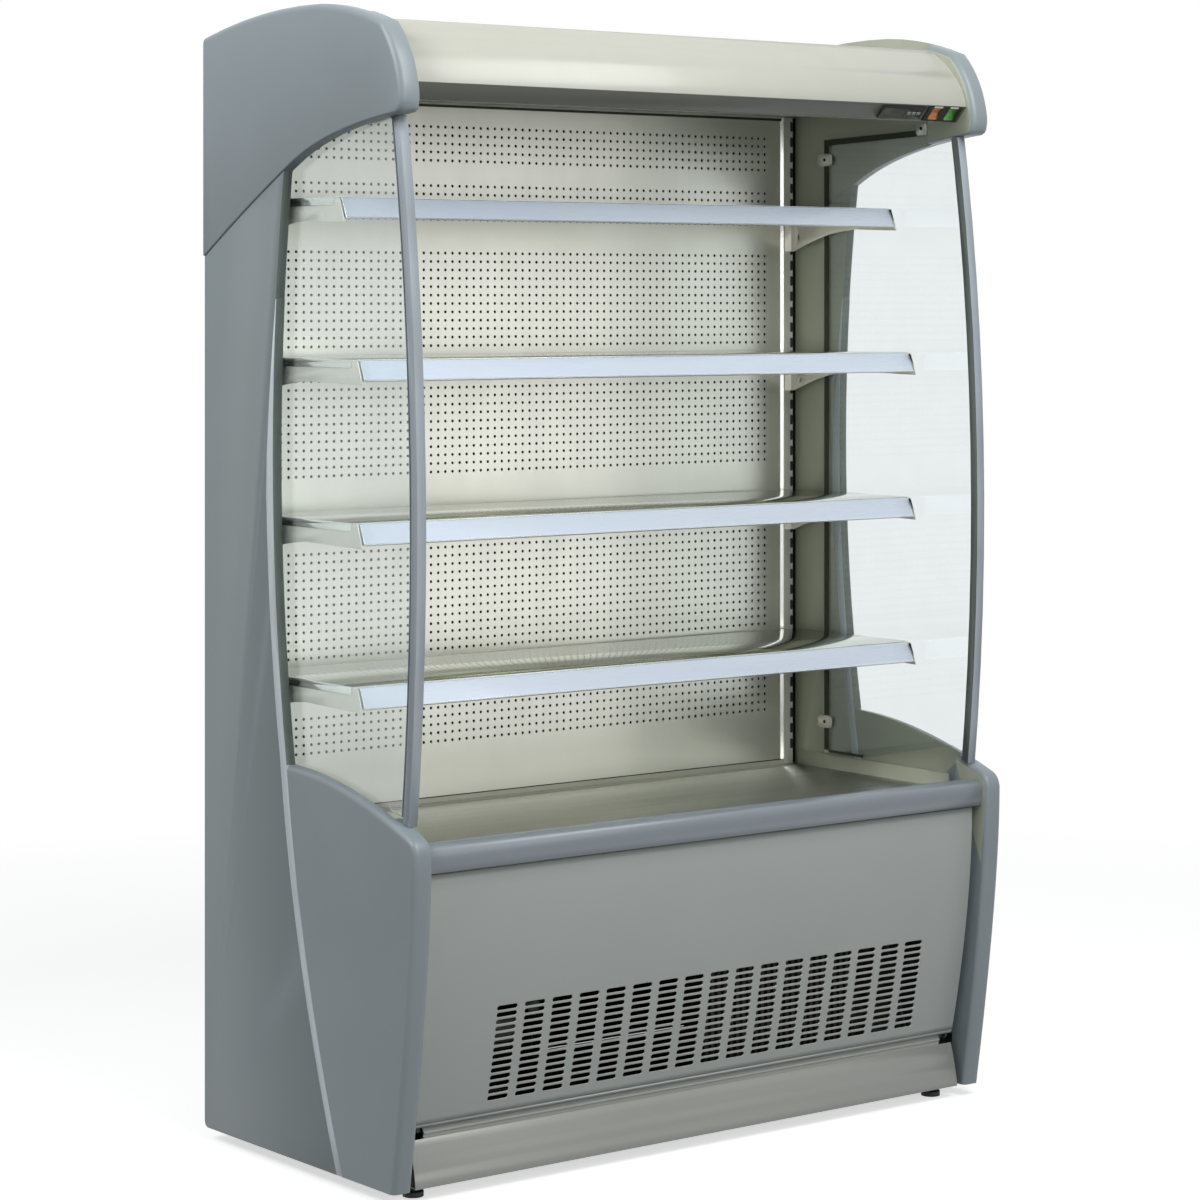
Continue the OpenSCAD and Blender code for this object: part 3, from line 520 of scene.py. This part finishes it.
class DISPLAYCASE_OT_shell(PieceOperator, bpy.types.Operator):
    """Finish the insulated body: side panels, cheeks, end caps, light strips, roof, rear and base"""

    bl_idname = "display_case.shell"
    bl_label = "Body"

    def build(self, settings):
        edge = settings.edge / MM
        # heights in metres: lining starts above the deck, the window above its sill, and the painted shade on
        # the tub's foot ends
        lining_foot, sill, tub_shade_top = 0.5, 0.69, 0.42

        # the window's cut edges take painted shade
        def window_return(centre, normal):
            return normal.y < -0.5 and centre.z > sill

        for side, sign in (("left", -1), ("right", 1)):

            def lining(centre, normal, sign=sign):
                return normal.x * sign < -0.9 and centre.z > lining_foot

            inside = [(lining, "liner_coat_olive")]
            dress(side + "_side_panel", side + "_side_skin", "side_powder_coat_grey", edge,
                  faces=inside + [(window_return, "window_edge_painted_shade")])
            dress(side + "_cheek", side + "_cheek_moulding", "moulded_satin_grey", 0, faces=inside)
            dress(side + "_end_cap", side + "_cap_moulding", "moulded_satin_grey", 0, faces=inside)
        dress("accent_strips", "light_strips", "strip_pale_satin", edge,
              faces=[(window_return, "window_edge_painted_shade")])
        dress("roof_panel", "roof_skin", "ceiling_coat_white", edge)
        # painted shade on the rear skin's inner face, seen through the perforations
        dress("back_wall", "rear_skin", "galvanised_sheet", edge,
              faces=[(lambda centre, normal: normal.y < -0.5, "painted_shade_dark")])
        dress("rear_grille", "rear_grille_sheet", "frame_dark_coat", 0)
        # dark sheet inside the rear grille: painted shade of the machine space, which also keeps daylight out
        # of it
        section("grille_shade_sheet", [(640.3, 66), (641.3, 66), (641.3, 381), (640.3, 381)], 622,
                "machine_space_black", 0.3)
        dress("base_frame", "base_frame_coated", "frame_dark_coat", edge)
        # the tub's foot takes painted shade, the black of the machine space
        dress("inner_tub", "tub_lining", "ceiling_coat_white", edge,
              faces=[(lambda centre, normal: centre.z < tub_shade_top, "machine_space_black")])


class DISPLAYCASE_OT_glazing(PieceOperator, bpy.types.Operator):
    """Glaze the ends and fit the posts, the dark edge strips and the clips"""

    bl_idname = "display_case.glazing"
    bl_label = "Glazing"

    def build(self, settings):
        pane = clear_glass("float_glass_clear", "ECF2F3")
        rim = clear_glass("float_glass_edge", "8FA89A", 0.12)

        def edge_face(centre, normal):
            return abs(normal.x) < 0.5

        def front_edge(centre, normal):
            return edge_face(centre, normal) and normal.y < -0.5

        for side, sign in (("left", -1), ("right", 1)):

            # the posts' inner faces take painted shade
            def post_inner_face(centre, normal, sign=sign):
                return normal.x * sign < -0.9

            dress(side + "_glass", side + "_pane", pane, 0,
                  faces=[(front_edge, "post_satin_blue_grey"), (edge_face, rim)])
            dress(side + "_post", side + "_post_section", "post_satin_blue_grey", 1.2,
                  faces=[(post_inner_face, "post_inner_painted_shade")])
            self.edge_strips(side, sign)
        dress("glass_clips", "pane_clips", "bracket_satin_cream", 0.6)
        self.clip_faces()

    def edge_strips(self, side, sign):
        """Dark olive-black strips inside the pane's rear and top edges, thinner along the foot."""
        pane_face, thick = 635.9, 0.8
        way = Vector((-sign * thick * MM, 0, 0))
        rear = [(455.5, 606), (468, 606), (468, 1801), (455.5, 1801)]
        top = [(172, 1800), (176, 1811), (455, 1801.5), (455, 1790)]
        foot = [(356, 601), (455, 601), (455, 606), (354, 606)]
        shapes = [(way, [at(sign * pane_face, s, z) for s, z in outline]) for outline in (rear, top, foot)]
        place(straight_pieces(side + "_pane_edge_strip", shapes, "pane_edge_dark_olive"))

    def clip_faces(self):
        """Stamped plates of the glass clips, each with its screw."""
        clip_face, thick, corner, head_radius = 632.6, 1.2, 3, 3.4
        # depth, height, half width and half height of each plate
        clips = ((463, 1762, 21, 10), (463, 661, 21, 10), (187, 1813, 15, 11))
        plates, heads = [], []
        for sign in (-1, 1):
            way = Vector((-sign * thick * MM, 0, 0))
            for s, z, half_s, half_z in clips:
                plates.append((way, [at(sign * clip_face, p, q)
                                     for p, q in clipped(s, z, half_s, half_z, corner)]))
                heads.append((way, [at(sign * (clip_face - thick), p, q)
                                    for p, q in oval(s, z, head_radius, head_radius, 10)]))
        for name, shapes, material, edge in (("clip_plates", plates, "bracket_satin_cream", 0.4),
                                             ("clip_screws", heads, "black_moulded_plastic", 0.3)):
            piece = straight_pieces(name, shapes, material)
            soften(piece, edge)
            place(piece)


class DISPLAYCASE_OT_interior(PieceOperator, bpy.types.Operator):
    """Build the perforated back panel, the uprights, the deck and the air outlet"""

    bl_idname = "display_case.interior"
    bl_label = "Interior"

    # sheet of the back panel: foot, head and top hole row in millimetres, its thickness and the fold's depth
    panel_foot, panel_head, top_row = 580, 1847, 1805
    sheet, fold = 1.5, 12
    # first and last hole row of each band, counted from the top; the shelves hang between the bands
    hole_bands = ((0, 4), (7, 8), (11, 11), (15, 26), (30, 41), (50, 62), (69, 73))
    hole_sides = 8

    def build(self, settings):
        self.perforated_panel(settings)
        self.panel_trim()
        self.corner_shade_strips()

        # in metres: flank and rear part of an upright, and the height above which a deck flange stands
        flank, rear_part, flange_foot = 0.6085, 0.2335, 0.569

        # painted shade inside the hook slots of the uprights
        def slot_inside_shade(centre, normal):
            return abs(centre.x) > flank and abs(normal.x) > 0.9 and centre.y > rear_part

        # the deck's side flanges take the duller lining coat, a painted dark reflection in place of their
        # stainless
        def flange_painted_reflection(centre, normal):
            return abs(normal.x) > 0.9 and centre.z > flange_foot

        dress("uprights", "slotted_uprights", "upright_coat_grey", 0.3,
              faces=[(slot_inside_shade, "painted_shade_dark")])
        self.slot_shade_marks()
        dress("deck_tray", "deck_sheet", "deck_brushed_stainless", 0.4,
              faces=[(flange_painted_reflection, "liner_coat_olive")])
        dress("return_grille", "return_air_grille", "grille_dark_coat", 0.2)
        dress("ceiling_panel", "ceiling_sheet", "ceiling_coat_white", 0.3)
        dress("air_honeycomb", "air_outlet_cells", "ceiling_coat_white", 0)
        dress("lamp_tube", "lamp_glass", "lamp_white_glass", 0.5)
        dress("lamp_holders", "lamp_end_holders", "ceiling_coat_white", 0.5)

    def perforated_panel(self, settings):
        """Sheet with every perforation cut: a ring of faces for each hole, plain faces between the bands."""
        half_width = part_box("back_panel")[1][0]
        front, rear = at(0, BACK_FACE, 0).y, at(0, BACK_FACE + self.fold, 0).y
        foot, head, top_row = self.panel_foot * MM, self.panel_head * MM, self.top_row * MM
        px, pz, radius = settings.hole_pitch_x, settings.hole_pitch_z, settings.hole_radius
        columns = settings.hole_columns
        half = columns * px / 2
        bm = bmesh.new()

        def quad(x0, x1, z0, z1):
            corners = ((x0, z0), (x1, z0), (x1, z1), (x0, z1))
            bm.faces.new([bm.verts.new((x, front, z)) for x, z in corners])

        def pierced(x, z):
            ring, inner, wall = [], [], []
            for k in range(self.hole_sides):
                turn = math.pi * 2 * k / self.hole_sides
                cx, cz = math.cos(turn), math.sin(turn)
                grow = 1 / max(abs(cx), abs(cz))
                ring.append(bm.verts.new((x + cx * grow * px / 2, front, z + cz * grow * pz / 2)))
                inner.append(bm.verts.new((x + cx * radius, front, z + cz * radius)))
                wall.append(bm.verts.new((x + cx * radius, front + self.sheet * MM, z + cz * radius)))
            for k in range(self.hole_sides):
                j = (k + 1) % self.hole_sides
                bm.faces.new((ring[k], ring[j], inner[j], inner[k]))
                bm.faces.new((inner[k], inner[j], wall[j], wall[k]))

        plain_top = head
        for first, last in self.hole_bands:
            quad(-half, half, top_row - (first - 0.5) * pz, plain_top)
            for row in range(first, last + 1):
                for column in range(columns):
                    pierced((column - (columns - 1) / 2) * px, top_row - row * pz)
            plain_top = top_row - (last + 0.5) * pz
        quad(-half, half, foot, plain_top)
        for x0, x1 in ((-half_width, -half), (half, half_width)):
            quad(x0, x1, foot, head)
        for z in (foot, head):
            bm.faces.new([bm.verts.new((x, y, z)) for x, y in (
                (-half_width, front), (half_width, front), (half_width, rear), (-half_width, rear))])
        bmesh.ops.remove_doubles(bm, verts=bm.verts, dist=2e-5)
        piece = from_bmesh("perforated_back_panel", bm, finish("back_rolled_stainless"))
        place(piece, "cabinet", "back_panel")

    def panel_trim(self):
        """Hems beside the back panel in a painted highlight, the strip along its foot, and the joint line of
        the ceiling with painted shade in it.
        """
        hem_x, hem_half = 603.8, 3.4
        rise = Vector((0, 0, (self.panel_head - self.panel_foot) * MM))
        # each hem is bent a little forward to catch the light from the open front, and takes the painted edge
        # highlight
        for side, sign in (("left", -1), ("right", 1)):
            x = sign * hem_x
            outline = [at(x - hem_half, BACK_FACE + 0.2, self.panel_foot),
                       at(x + hem_half, BACK_FACE + 0.2, self.panel_foot),
                       at(x + hem_half, BACK_FACE - 2.4, self.panel_foot),
                       at(x - 2.6, BACK_FACE - 0.4, self.panel_foot)]
            place(straight_pieces("panel_hem_" + side, [(rise, outline)], "painted_edge_highlight"))
        section("foot_strip", [(541, 568.1), (556.3, 568.1), (556.3, 579), (554.8, 579), (554.8, 570.4),
                               (552, 569.8), (541, 569.6)], STRIP_HALF, "cream_coat", 0.3)
        section("ceiling_lip", [(557, 1846.2), (559.4, 1846.2), (559.4, 1849.8), (557, 1849.8)],
                STRIP_HALF, "cream_coat", 0.2)
        # painted shade: a dark strip in the gap under the ceiling's lip
        section("panel_top_painted_shade", [(559, 1841.2), (559.9, 1841.2), (559.9, 1846), (559, 1846)],
                STRIP_HALF, "painted_shade_dark", 0)

    def corner_shade_strips(self):
        """Painted shade: a dark strip between each upright and the end's lining."""
        inner_x, outer_x, foot, length = 643.2, 643.8, 570, 1278
        rise = Vector((0, 0, length * MM))
        for side, sign in (("left", -1), ("right", 1)):
            outline = [at(sign * x, s, foot) for x, s in ((inner_x, 564), (outer_x, 564),
                                                          (outer_x, 605), (inner_x, 605))]
            place(straight_pieces(side + "_corner_painted_shade", [(rise, outline)], "painted_shade_dark"))

    def slot_shade_marks(self):
        """Painted shade of the hook slots: dark marks along the outer edge of each upright."""
        pitch = SHELF_STEP / SLOTS_PER_STEP
        lowest_hook, below, above = 822.5, 7, 33
        mark_x, half_x, half_z, corner = 629.5, 3.1, 9.6, 1.6
        proud, thick = 0.3, 0.4
        for side, sign in (("left", -1), ("right", 1)):
            shapes = []
            for step in range(-below, above + 1):
                outline = clipped(mark_x, lowest_hook + step * pitch, half_x, half_z, corner)
                shapes.append((Vector((0, thick * MM, 0)),
                               [at(sign * x, BACK_FACE - proud, z) for x, z in outline]))
            place(straight_pieces(side + "_slot_painted_shade", shapes, "painted_shade_dark"))


class DISPLAYCASE_OT_shelving(PieceOperator, bpy.types.Operator):
    """Fit the shelves, the price rails and the hooked brackets"""

    bl_idname = "display_case.shelving"
    bl_label = "Shelving"

    # oval holes of a bracket: depth, place from the tray's top, half width, half height
    top_shelf_holes = ((536, -52, 3.0, 6.5),)
    shelf_holes = ((538, -44, 2.6, 5.0), (531, -60, 2.6, 5.0))
    # bracket side that faces the end, and a cut long enough to pass the whole bracket
    bracket_side, cut_length = 634, 12

    def build(self, settings):
        holes = []
        for number in range(1, 5):
            # the rounded edges of trays and rails take the painted highlight
            dress("shelf_%d" % number, "shelf_tray_%d" % number, "polished_stainless", 0.3,
                  edge_highlight="painted_edge_highlight")
            dress("rail_%d" % number, "price_rail_%d" % number, "rail_extruded_pale_blue", 0.5,
                  edge_highlight="painted_edge_highlight")
            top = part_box("shelf_%d" % number)[1][2] / MM
            spots = self.top_shelf_holes if number == 1 else self.shelf_holes
            holes += [oval(s, top + z, across, high) for s, z, across, high in spots]
        for side, sign in (("left", -1), ("right", 1)):
            way = Vector((-sign * self.cut_length * MM, 0, 0))
            cuts = [(way, [at(sign * self.bracket_side, s, z) for s, z in hole]) for hole in holes]
            dress(side + "_brackets", side + "_bracket_plates", "bracket_satin_cream", 0.25, cuts=cuts)
        self.rail_ends()

    def rail_ends(self):
        """Painted shadow: a dark wedge in the gap between each rail's right end and its slanted end plate."""
        wedge, from_end, from_top, from_foot, inset, thick = 6, 0.6, 1.5, 12, 2, 0.4
        slope = math.tan(RAIL_LEAN)
        shapes = []
        for number in range(1, 5):
            low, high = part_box("rail_%d" % number)
            lean_top = low[1] + (high[2] - low[2]) * slope - inset * MM

            def on_face(x, z):
                return Vector((x, lean_top - (high[2] - z) * slope, z))

            right, top, foot = high[0] - from_end * MM, high[2] - from_top * MM, low[2] + from_foot * MM
            shapes.append((Vector((0, -thick * MM, 0)), [on_face(right - wedge * MM, top),
                                                         on_face(right, foot), on_face(right, top)]))
        place(straight_pieces("rail_end_gaps", shapes, "machine_space_black"))


class LouvredSheet:
    """Mesh of the front panel: a rolled sheet with every louvre slot cut and its rim pressed in.

    Lengths are millimetres, and each point is (across, height, distance behind the rolled face)."""

    thick, edge_roll = 2.0, 1.5
    # rolled line, a quadratic curve: upper end, the height it is drawn towards, lower end, and their depths
    top, pull, low = 546.0, 365.0, 124.0
    upper_depth, lower_depth = 28.0, 82.0
    # field of slots
    columns, rows, step_x, step_z, middle_x, middle_z = 17, 14, 57.7, 12.0, 21.0, 228.0
    slot_length, slot_radius = 42.0, 3.75
    rim_width, rim_depth = 0.6, 0.7
    plain_rows = 14
    flange_depth = 16
    near = 0.1

    def __init__(self, half):
        self.half = half
        self.bm = bmesh.new()
        self.known = {}
        self.straight = self.slot_length / 2 - self.slot_radius
        first_x = self.middle_x - (self.columns - 1) / 2 * self.step_x
        first_z = self.middle_z - (self.rows - 1) / 2 * self.step_z
        self.slots_x = [first_x + k * self.step_x for k in range(self.columns)]
        self.slots_z = [first_z + k * self.step_z for k in range(self.rows)]
        self.field_x = (self.slots_x[0] - self.step_x / 2, self.slots_x[-1] + self.step_x / 2)
        self.field_z = (self.slots_z[0] - self.step_z / 2, self.slots_z[-1] + self.step_z / 2)
        # grid of the sheet: rolled edges, slot ends and slot straights across, slot rows and plain rows up
        rolled = [half - self.edge_roll, half - self.edge_roll / 4, half]
        self.lines_x = [-x for x in reversed(rolled)]
        for x in self.slots_x:
            self.lines_x += [x - self.step_x / 2, x - self.straight, x + self.straight]
        self.lines_x += [self.field_x[1]] + rolled
        above = (self.top - self.field_z[1]) / self.plain_rows
        self.lines_z = [self.low, (self.low + self.field_z[0]) / 2]
        self.lines_z += [self.field_z[0] + self.step_z * k for k in range(self.rows + 1)]
        self.lines_z += [self.field_z[1] + above * k for k in range(1, self.plain_rows + 1)]
        self.arc = [math.pi / 2 + math.pi * k / 6 for k in range(7)]

    def depth(self, z):
        """Depth of the rolled line at height z, from its quadratic curve solved for the height."""
        start = 2 * (self.top - self.pull)
        bow = 2 * self.pull - self.top - self.low
        fallen = self.top - min(z, self.top)
        t = (math.sqrt(start ** 2 + 4 * bow * fallen) - start) / (2 * bow)
        return self.upper_depth + (self.lower_depth - self.upper_depth) * t * t

    def rolled_back(self, x):
        """How far the rolled side edge lies behind the face at x."""
        over = max(0.0, abs(x) - (self.half - self.edge_roll))
        return self.edge_roll - math.sqrt(max(0.0, self.edge_roll ** 2 - over * over))

    def vert(self, x, z, back=0.0):
        key = (round(x, 3), round(z, 3), round(back, 3))
        if key not in self.known:
            roll = 0 if back else self.rolled_back(x)
            self.known[key] = self.bm.verts.new(at(x, self.depth(z) + roll + back, z))
        return self.known[key]

    def face(self, points, back):
        corners = [self.vert(x, z, back) for x, z in points]
        self.bm.faces.new(corners[::-1] if back else corners)

    def skin(self, back):
        """The sheet's front (back = 0) or rear face, with its slots left open."""
        rim = self.slot_radius + (0.0 if back else self.rim_width)
        for x0, x1 in zip(self.lines_x, self.lines_x[1:]):
            in_columns = self.field_x[0] - self.near < x0 < self.field_x[1] - self.near
            for z0, z1 in zip(self.lines_z, self.lines_z[1:]):
                in_rows = self.field_z[0] - self.near < z0 < self.field_z[1] - self.near
                middle = (z0 + z1) / 2
                if not (in_columns and in_rows):
                    self.face([(x0, z0), (x1, z0), (x1, z1), (x0, z1)], back)
                elif x1 - x0 > self.straight:
                    self.face([(x0, z0), (x1, z0), (x1, middle - rim), (x0, middle - rim)], back)
                    self.face([(x0, middle + rim), (x1, middle + rim), (x1, z1), (x0, z1)], back)
                else:
                    self.slot_end(x0, x1, z0, z1, rim, back)

    def slot_end(self, x0, x1, z0, z1, rim, back):
        """Faces round one half-round slot end, fanned from the cell's outer corners."""
        left_end = any(abs(x1 - (x - self.straight)) < self.near for x in self.slots_x)
        centre, outer, way = (x1, x0, 1) if left_end else (x0, x1, -1)
        middle = (z0 + z1) / 2
        points = [(centre + way * rim * math.cos(a), middle + rim * math.sin(a)) for a in self.arc]
        last = len(points) - 1
        half_way = last // 2

        def fan(*corners):
            self.face(corners if left_end else corners[::-1], back)

        fan((outer, z1), points[0], (centre, z1))
        fan((outer, z0), (centre, z0), points[last])
        for k in range(half_way):
            fan((outer, z1), points[k + 1], points[k])
            fan((outer, z0), points[half_way + k + 1], points[half_way + k])
        fan((outer, z1), (outer, z0), points[half_way])

    def slot_walls(self, x, z):
        """Pressed rim and cut wall of one slot; the rim takes the second material, the painted sheen."""
        loops = []
        for radius, back in ((self.slot_radius + self.rim_width, 0.0), (self.slot_radius, self.rim_depth),
                             (self.slot_radius, self.thick)):
            outline = [(x + way * (radius * math.cos(a) - self.straight), z + way * radius * math.sin(a))
                       for way in (1, -1) for a in self.arc]
            loops.append([self.vert(p, q, back) for p, q in outline])
        count = len(loops[0])
        for near, far, material in ((loops[0], loops[1], 1), (loops[1], loops[2], 0)):
            for k in range(count):
                j = (k + 1) % count
                self.bm.faces.new((near[k], near[j], far[j], far[k])).material_index = material

    def border(self):
        """Sides, top and foot of the sheet between its two skins."""
        for x, way in ((-self.half, 1), (self.half, -1)):
            for z0, z1 in zip(self.lines_z, self.lines_z[1:]):
                self.strip((x, z0), (x, z1), way)
        for z, way in ((self.top, 1), (self.low, -1)):
            for x0, x1 in zip(self.lines_x, self.lines_x[1:]):
                self.strip((x0, z), (x1, z), way)

    def strip(self, a, b, way):
        corners = [self.vert(*a), self.vert(*b), self.vert(*b, self.thick), self.vert(*a, self.thick)]
        self.bm.faces.new(corners[::way])

    def flanges(self):
        """Stiffening flanges behind both sides and the top, and the seam folded under the foot."""
        side = [(self.depth(z) + self.thick, z) for z in self.lines_z]
        side += [(self.depth(z) + self.flange_depth, z) for z in reversed(self.lines_z)]
        head = [(30, 544), (44, 544), (44, 546), (30, 546)]
        seam = [(82, 121), (84, 118.6), (86, 118.6), (86, 120.6), (84.8, 121), (83.4, 123.9), (82, 123.9)]
        inner = self.half - self.thick
        for x0, x1, outline in ((-self.half, -inner, side), (inner, self.half, side),
                                (-inner, inner, head), (-inner, inner, seam)):
            add_prism(self.bm, Vector(((x1 - x0) * MM, 0, 0)), [at(x0, s, z) for s, z in outline])

    def shade(self):
        """Smooth faces, with crisp lines only round the pressed rims."""
        rims = {f for f in self.bm.faces if f.material_index == 1}
        for f in self.bm.faces:
            f.smooth = True
        for e in self.bm.edges:
            on_rim_line = len({f in rims for f in e.link_faces}) == 1
            e.smooth = on_rim_line and len(e.link_faces) == 2 and e.calc_face_angle(0) < 0.6

    def build(self):
        for back in (0.0, self.thick):
            self.skin(back)
        for x in self.slots_x:
            for z in self.slots_z:
                self.slot_walls(x, z)
        self.border()
        self.flanges()
        self.shade()
        return from_bmesh("louvred_panel", self.bm, finish("panel_silver_paint"), finish("louvre_rim_painted_sheen"))


class DISPLAYCASE_OT_front(PieceOperator, bpy.types.Operator):
    """Fit the louvred front panel, the bumper, the kick plate and the canopy"""

    bl_idname = "display_case.front"
    bl_label = "Front"

    def build(self, settings):
        sheet = LouvredSheet(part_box("front_panel")[1][0] / MM)
        place(sheet.build(), "front_panel", "front_panel")
        dress("panel_hooks", "panel_hook_pieces", "black_moulded_plastic", 0.5, "front_panel")
        dress("kick_plate", "kick_sheet", "kick_brushed_sheet", 0.4)
        dress("kick_rail", "kick_ledge", "kick_brushed_sheet", 0)
        dress("bumper", "bumper_section", "bumper_extruded_blue_grey", 0.8)
        face_top = 1.85

        def control_face(centre, normal):
            return normal.y < -0.6 and normal.z < -0.6 and centre.z < face_top

        dress("canopy", "canopy_sheet", "canopy_coat_cream", 0.5,
              faces=[(control_face, "control_face_grey")])


class DISPLAYCASE_OT_controls(PieceOperator, bpy.types.Operator):
    """Fit the controller, its keys and the two rocker switches"""

    bl_idname = "display_case.controls"
    bl_label = "Controls"

    def build(self, settings):
        # the display lies in the left part of the controller, behind the bezel's face
        display_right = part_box("controller")[0][0] + 60 * MM
        recess = -0.2625

        def display(centre, normal):
            return normal.y < -0.6 and centre.x < display_right and centre.y > recess

        # the rockers' ends that face left take the painted highlight
        def lit(centre, normal):
            return normal.x < -0.6

        dress("controller", "controller_bezel", "controller_charcoal", 0.5,
              faces=[(display, "display_smoked")])
        for number in (1, 2, 3):
            dress("key_%d" % number, "rounded_key_%d" % number, "key_grey_plastic", 0.6, "key_%d" % number)
        dress("switch_frame", "switch_bezel", "controller_charcoal", 0.5)
        for colour in ("orange", "green"):
            node = colour + "_rocker"
            dress(node, node + "_cap", "rocker_%s_gloss" % colour, 0.8, node,
                  faces=[(lit, "rocker_%s_lit" % colour)])
        self.label_bars()

    def label_bars(self):
        """Bare white bars on the film above the two switches."""
        face_depth, face_height, off_middle, proud, inset, high, thick = 67, 1834, 15.2, 2.0, 2, 3.4, 0.5
        front = Vector((0, -1, -1)).normalized()
        up = Vector((0, -1, 1)).normalized()
        base = at(0, face_depth, face_height) + (up * off_middle + front * proud) * MM
        shapes = []
        for node in ("orange_rocker", "green_rocker"):
            left, right = (corner[0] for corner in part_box(node))
            start = Vector((left + inset * MM, base.y, base.z))
            end = Vector((right - inset * MM, base.y, base.z))
            rise = up * high * MM
            shapes.append((front * thick * MM, [start, end, end + rise, start + rise]))
        place(straight_pieces("label_bars", shapes, "label_white_film"))


class DISPLAYCASE_OT_machinery(PieceOperator, bpy.types.Operator):
    """Finish the cooling unit behind the louvres and under the deck"""

    bl_idname = "display_case.machinery"
    bl_label = "Machinery"

    def build(self, settings):
        dress("compressor", "compressor_shell", "compressor_black_gloss", 1.5)
        dress("condenser", "condenser_fins", "fin_aluminium_painted_shade", 0)
        dress("condenser_fan_mount", "condenser_shroud", "black_moulded_plastic", 0.5)
        dress("condenser_fan", "condenser_fan_blades", "black_moulded_plastic", 0.4, "condenser_fan")
        dress("evaporator", "evaporator_fins", "fin_aluminium", 0)
        dress("evaporator_fan_plate", "evaporator_fan_sheet", "galvanised_sheet", 0.3)
        for side in ("left", "right"):
            node = "evaporator_fan_" + side
            dress(node, node + "_blades", "black_moulded_plastic", 0.4, node)


class DISPLAYCASE_OT_feet(PieceOperator, bpy.types.Operator):
    """Finish the four levelling feet"""

    bl_idname = "display_case.feet"
    bl_label = "Feet"

    def build(self, settings):
        for end in ("front_left", "front_right", "rear_left", "rear_right"):
            dress("foot_" + end, "foot_disc_" + end, "foot_black_rubber", 1.2, "foot_" + end)


OPERATORS = (
    DISPLAYCASE_OT_stage,
    DISPLAYCASE_OT_shell,
    DISPLAYCASE_OT_glazing,
    DISPLAYCASE_OT_interior,
    DISPLAYCASE_OT_shelving,
    DISPLAYCASE_OT_front,
    DISPLAYCASE_OT_controls,
    DISPLAYCASE_OT_machinery,
    DISPLAYCASE_OT_feet,
)


class DISPLAYCASE_PT_panel(bpy.types.Panel):
    """Buttons and settings in the sidebar"""

    bl_label = "Display case"
    bl_space_type = "VIEW_3D"
    bl_region_type = "UI"
    bl_category = "Display case"

    def draw(self, context):
        for name in DisplayCaseSettings.__annotations__:
            self.layout.prop(context.scene.display_case, name)
        for operator in OPERATORS:
            self.layout.operator(operator.bl_idname)


CLASSES = (DisplayCaseSettings,) + OPERATORS + (DISPLAYCASE_PT_panel,)


def register():
    for each in CLASSES:
        bpy.utils.register_class(each)
    bpy.types.Scene.display_case = PointerProperty(type=DisplayCaseSettings)


def unregister():
    del bpy.types.Scene.display_case
    for each in reversed(CLASSES):
        bpy.utils.unregister_class(each)


def main():
    register()
    bpy.ops.display_case.stage()
    bpy.ops.display_case.shell()
    bpy.ops.display_case.glazing()
    bpy.ops.display_case.interior()
    bpy.ops.display_case.shelving()
    bpy.ops.display_case.front()
    bpy.ops.display_case.controls()
    bpy.ops.display_case.machinery()
    bpy.ops.display_case.feet()


if __name__ == "__main__":
    main()
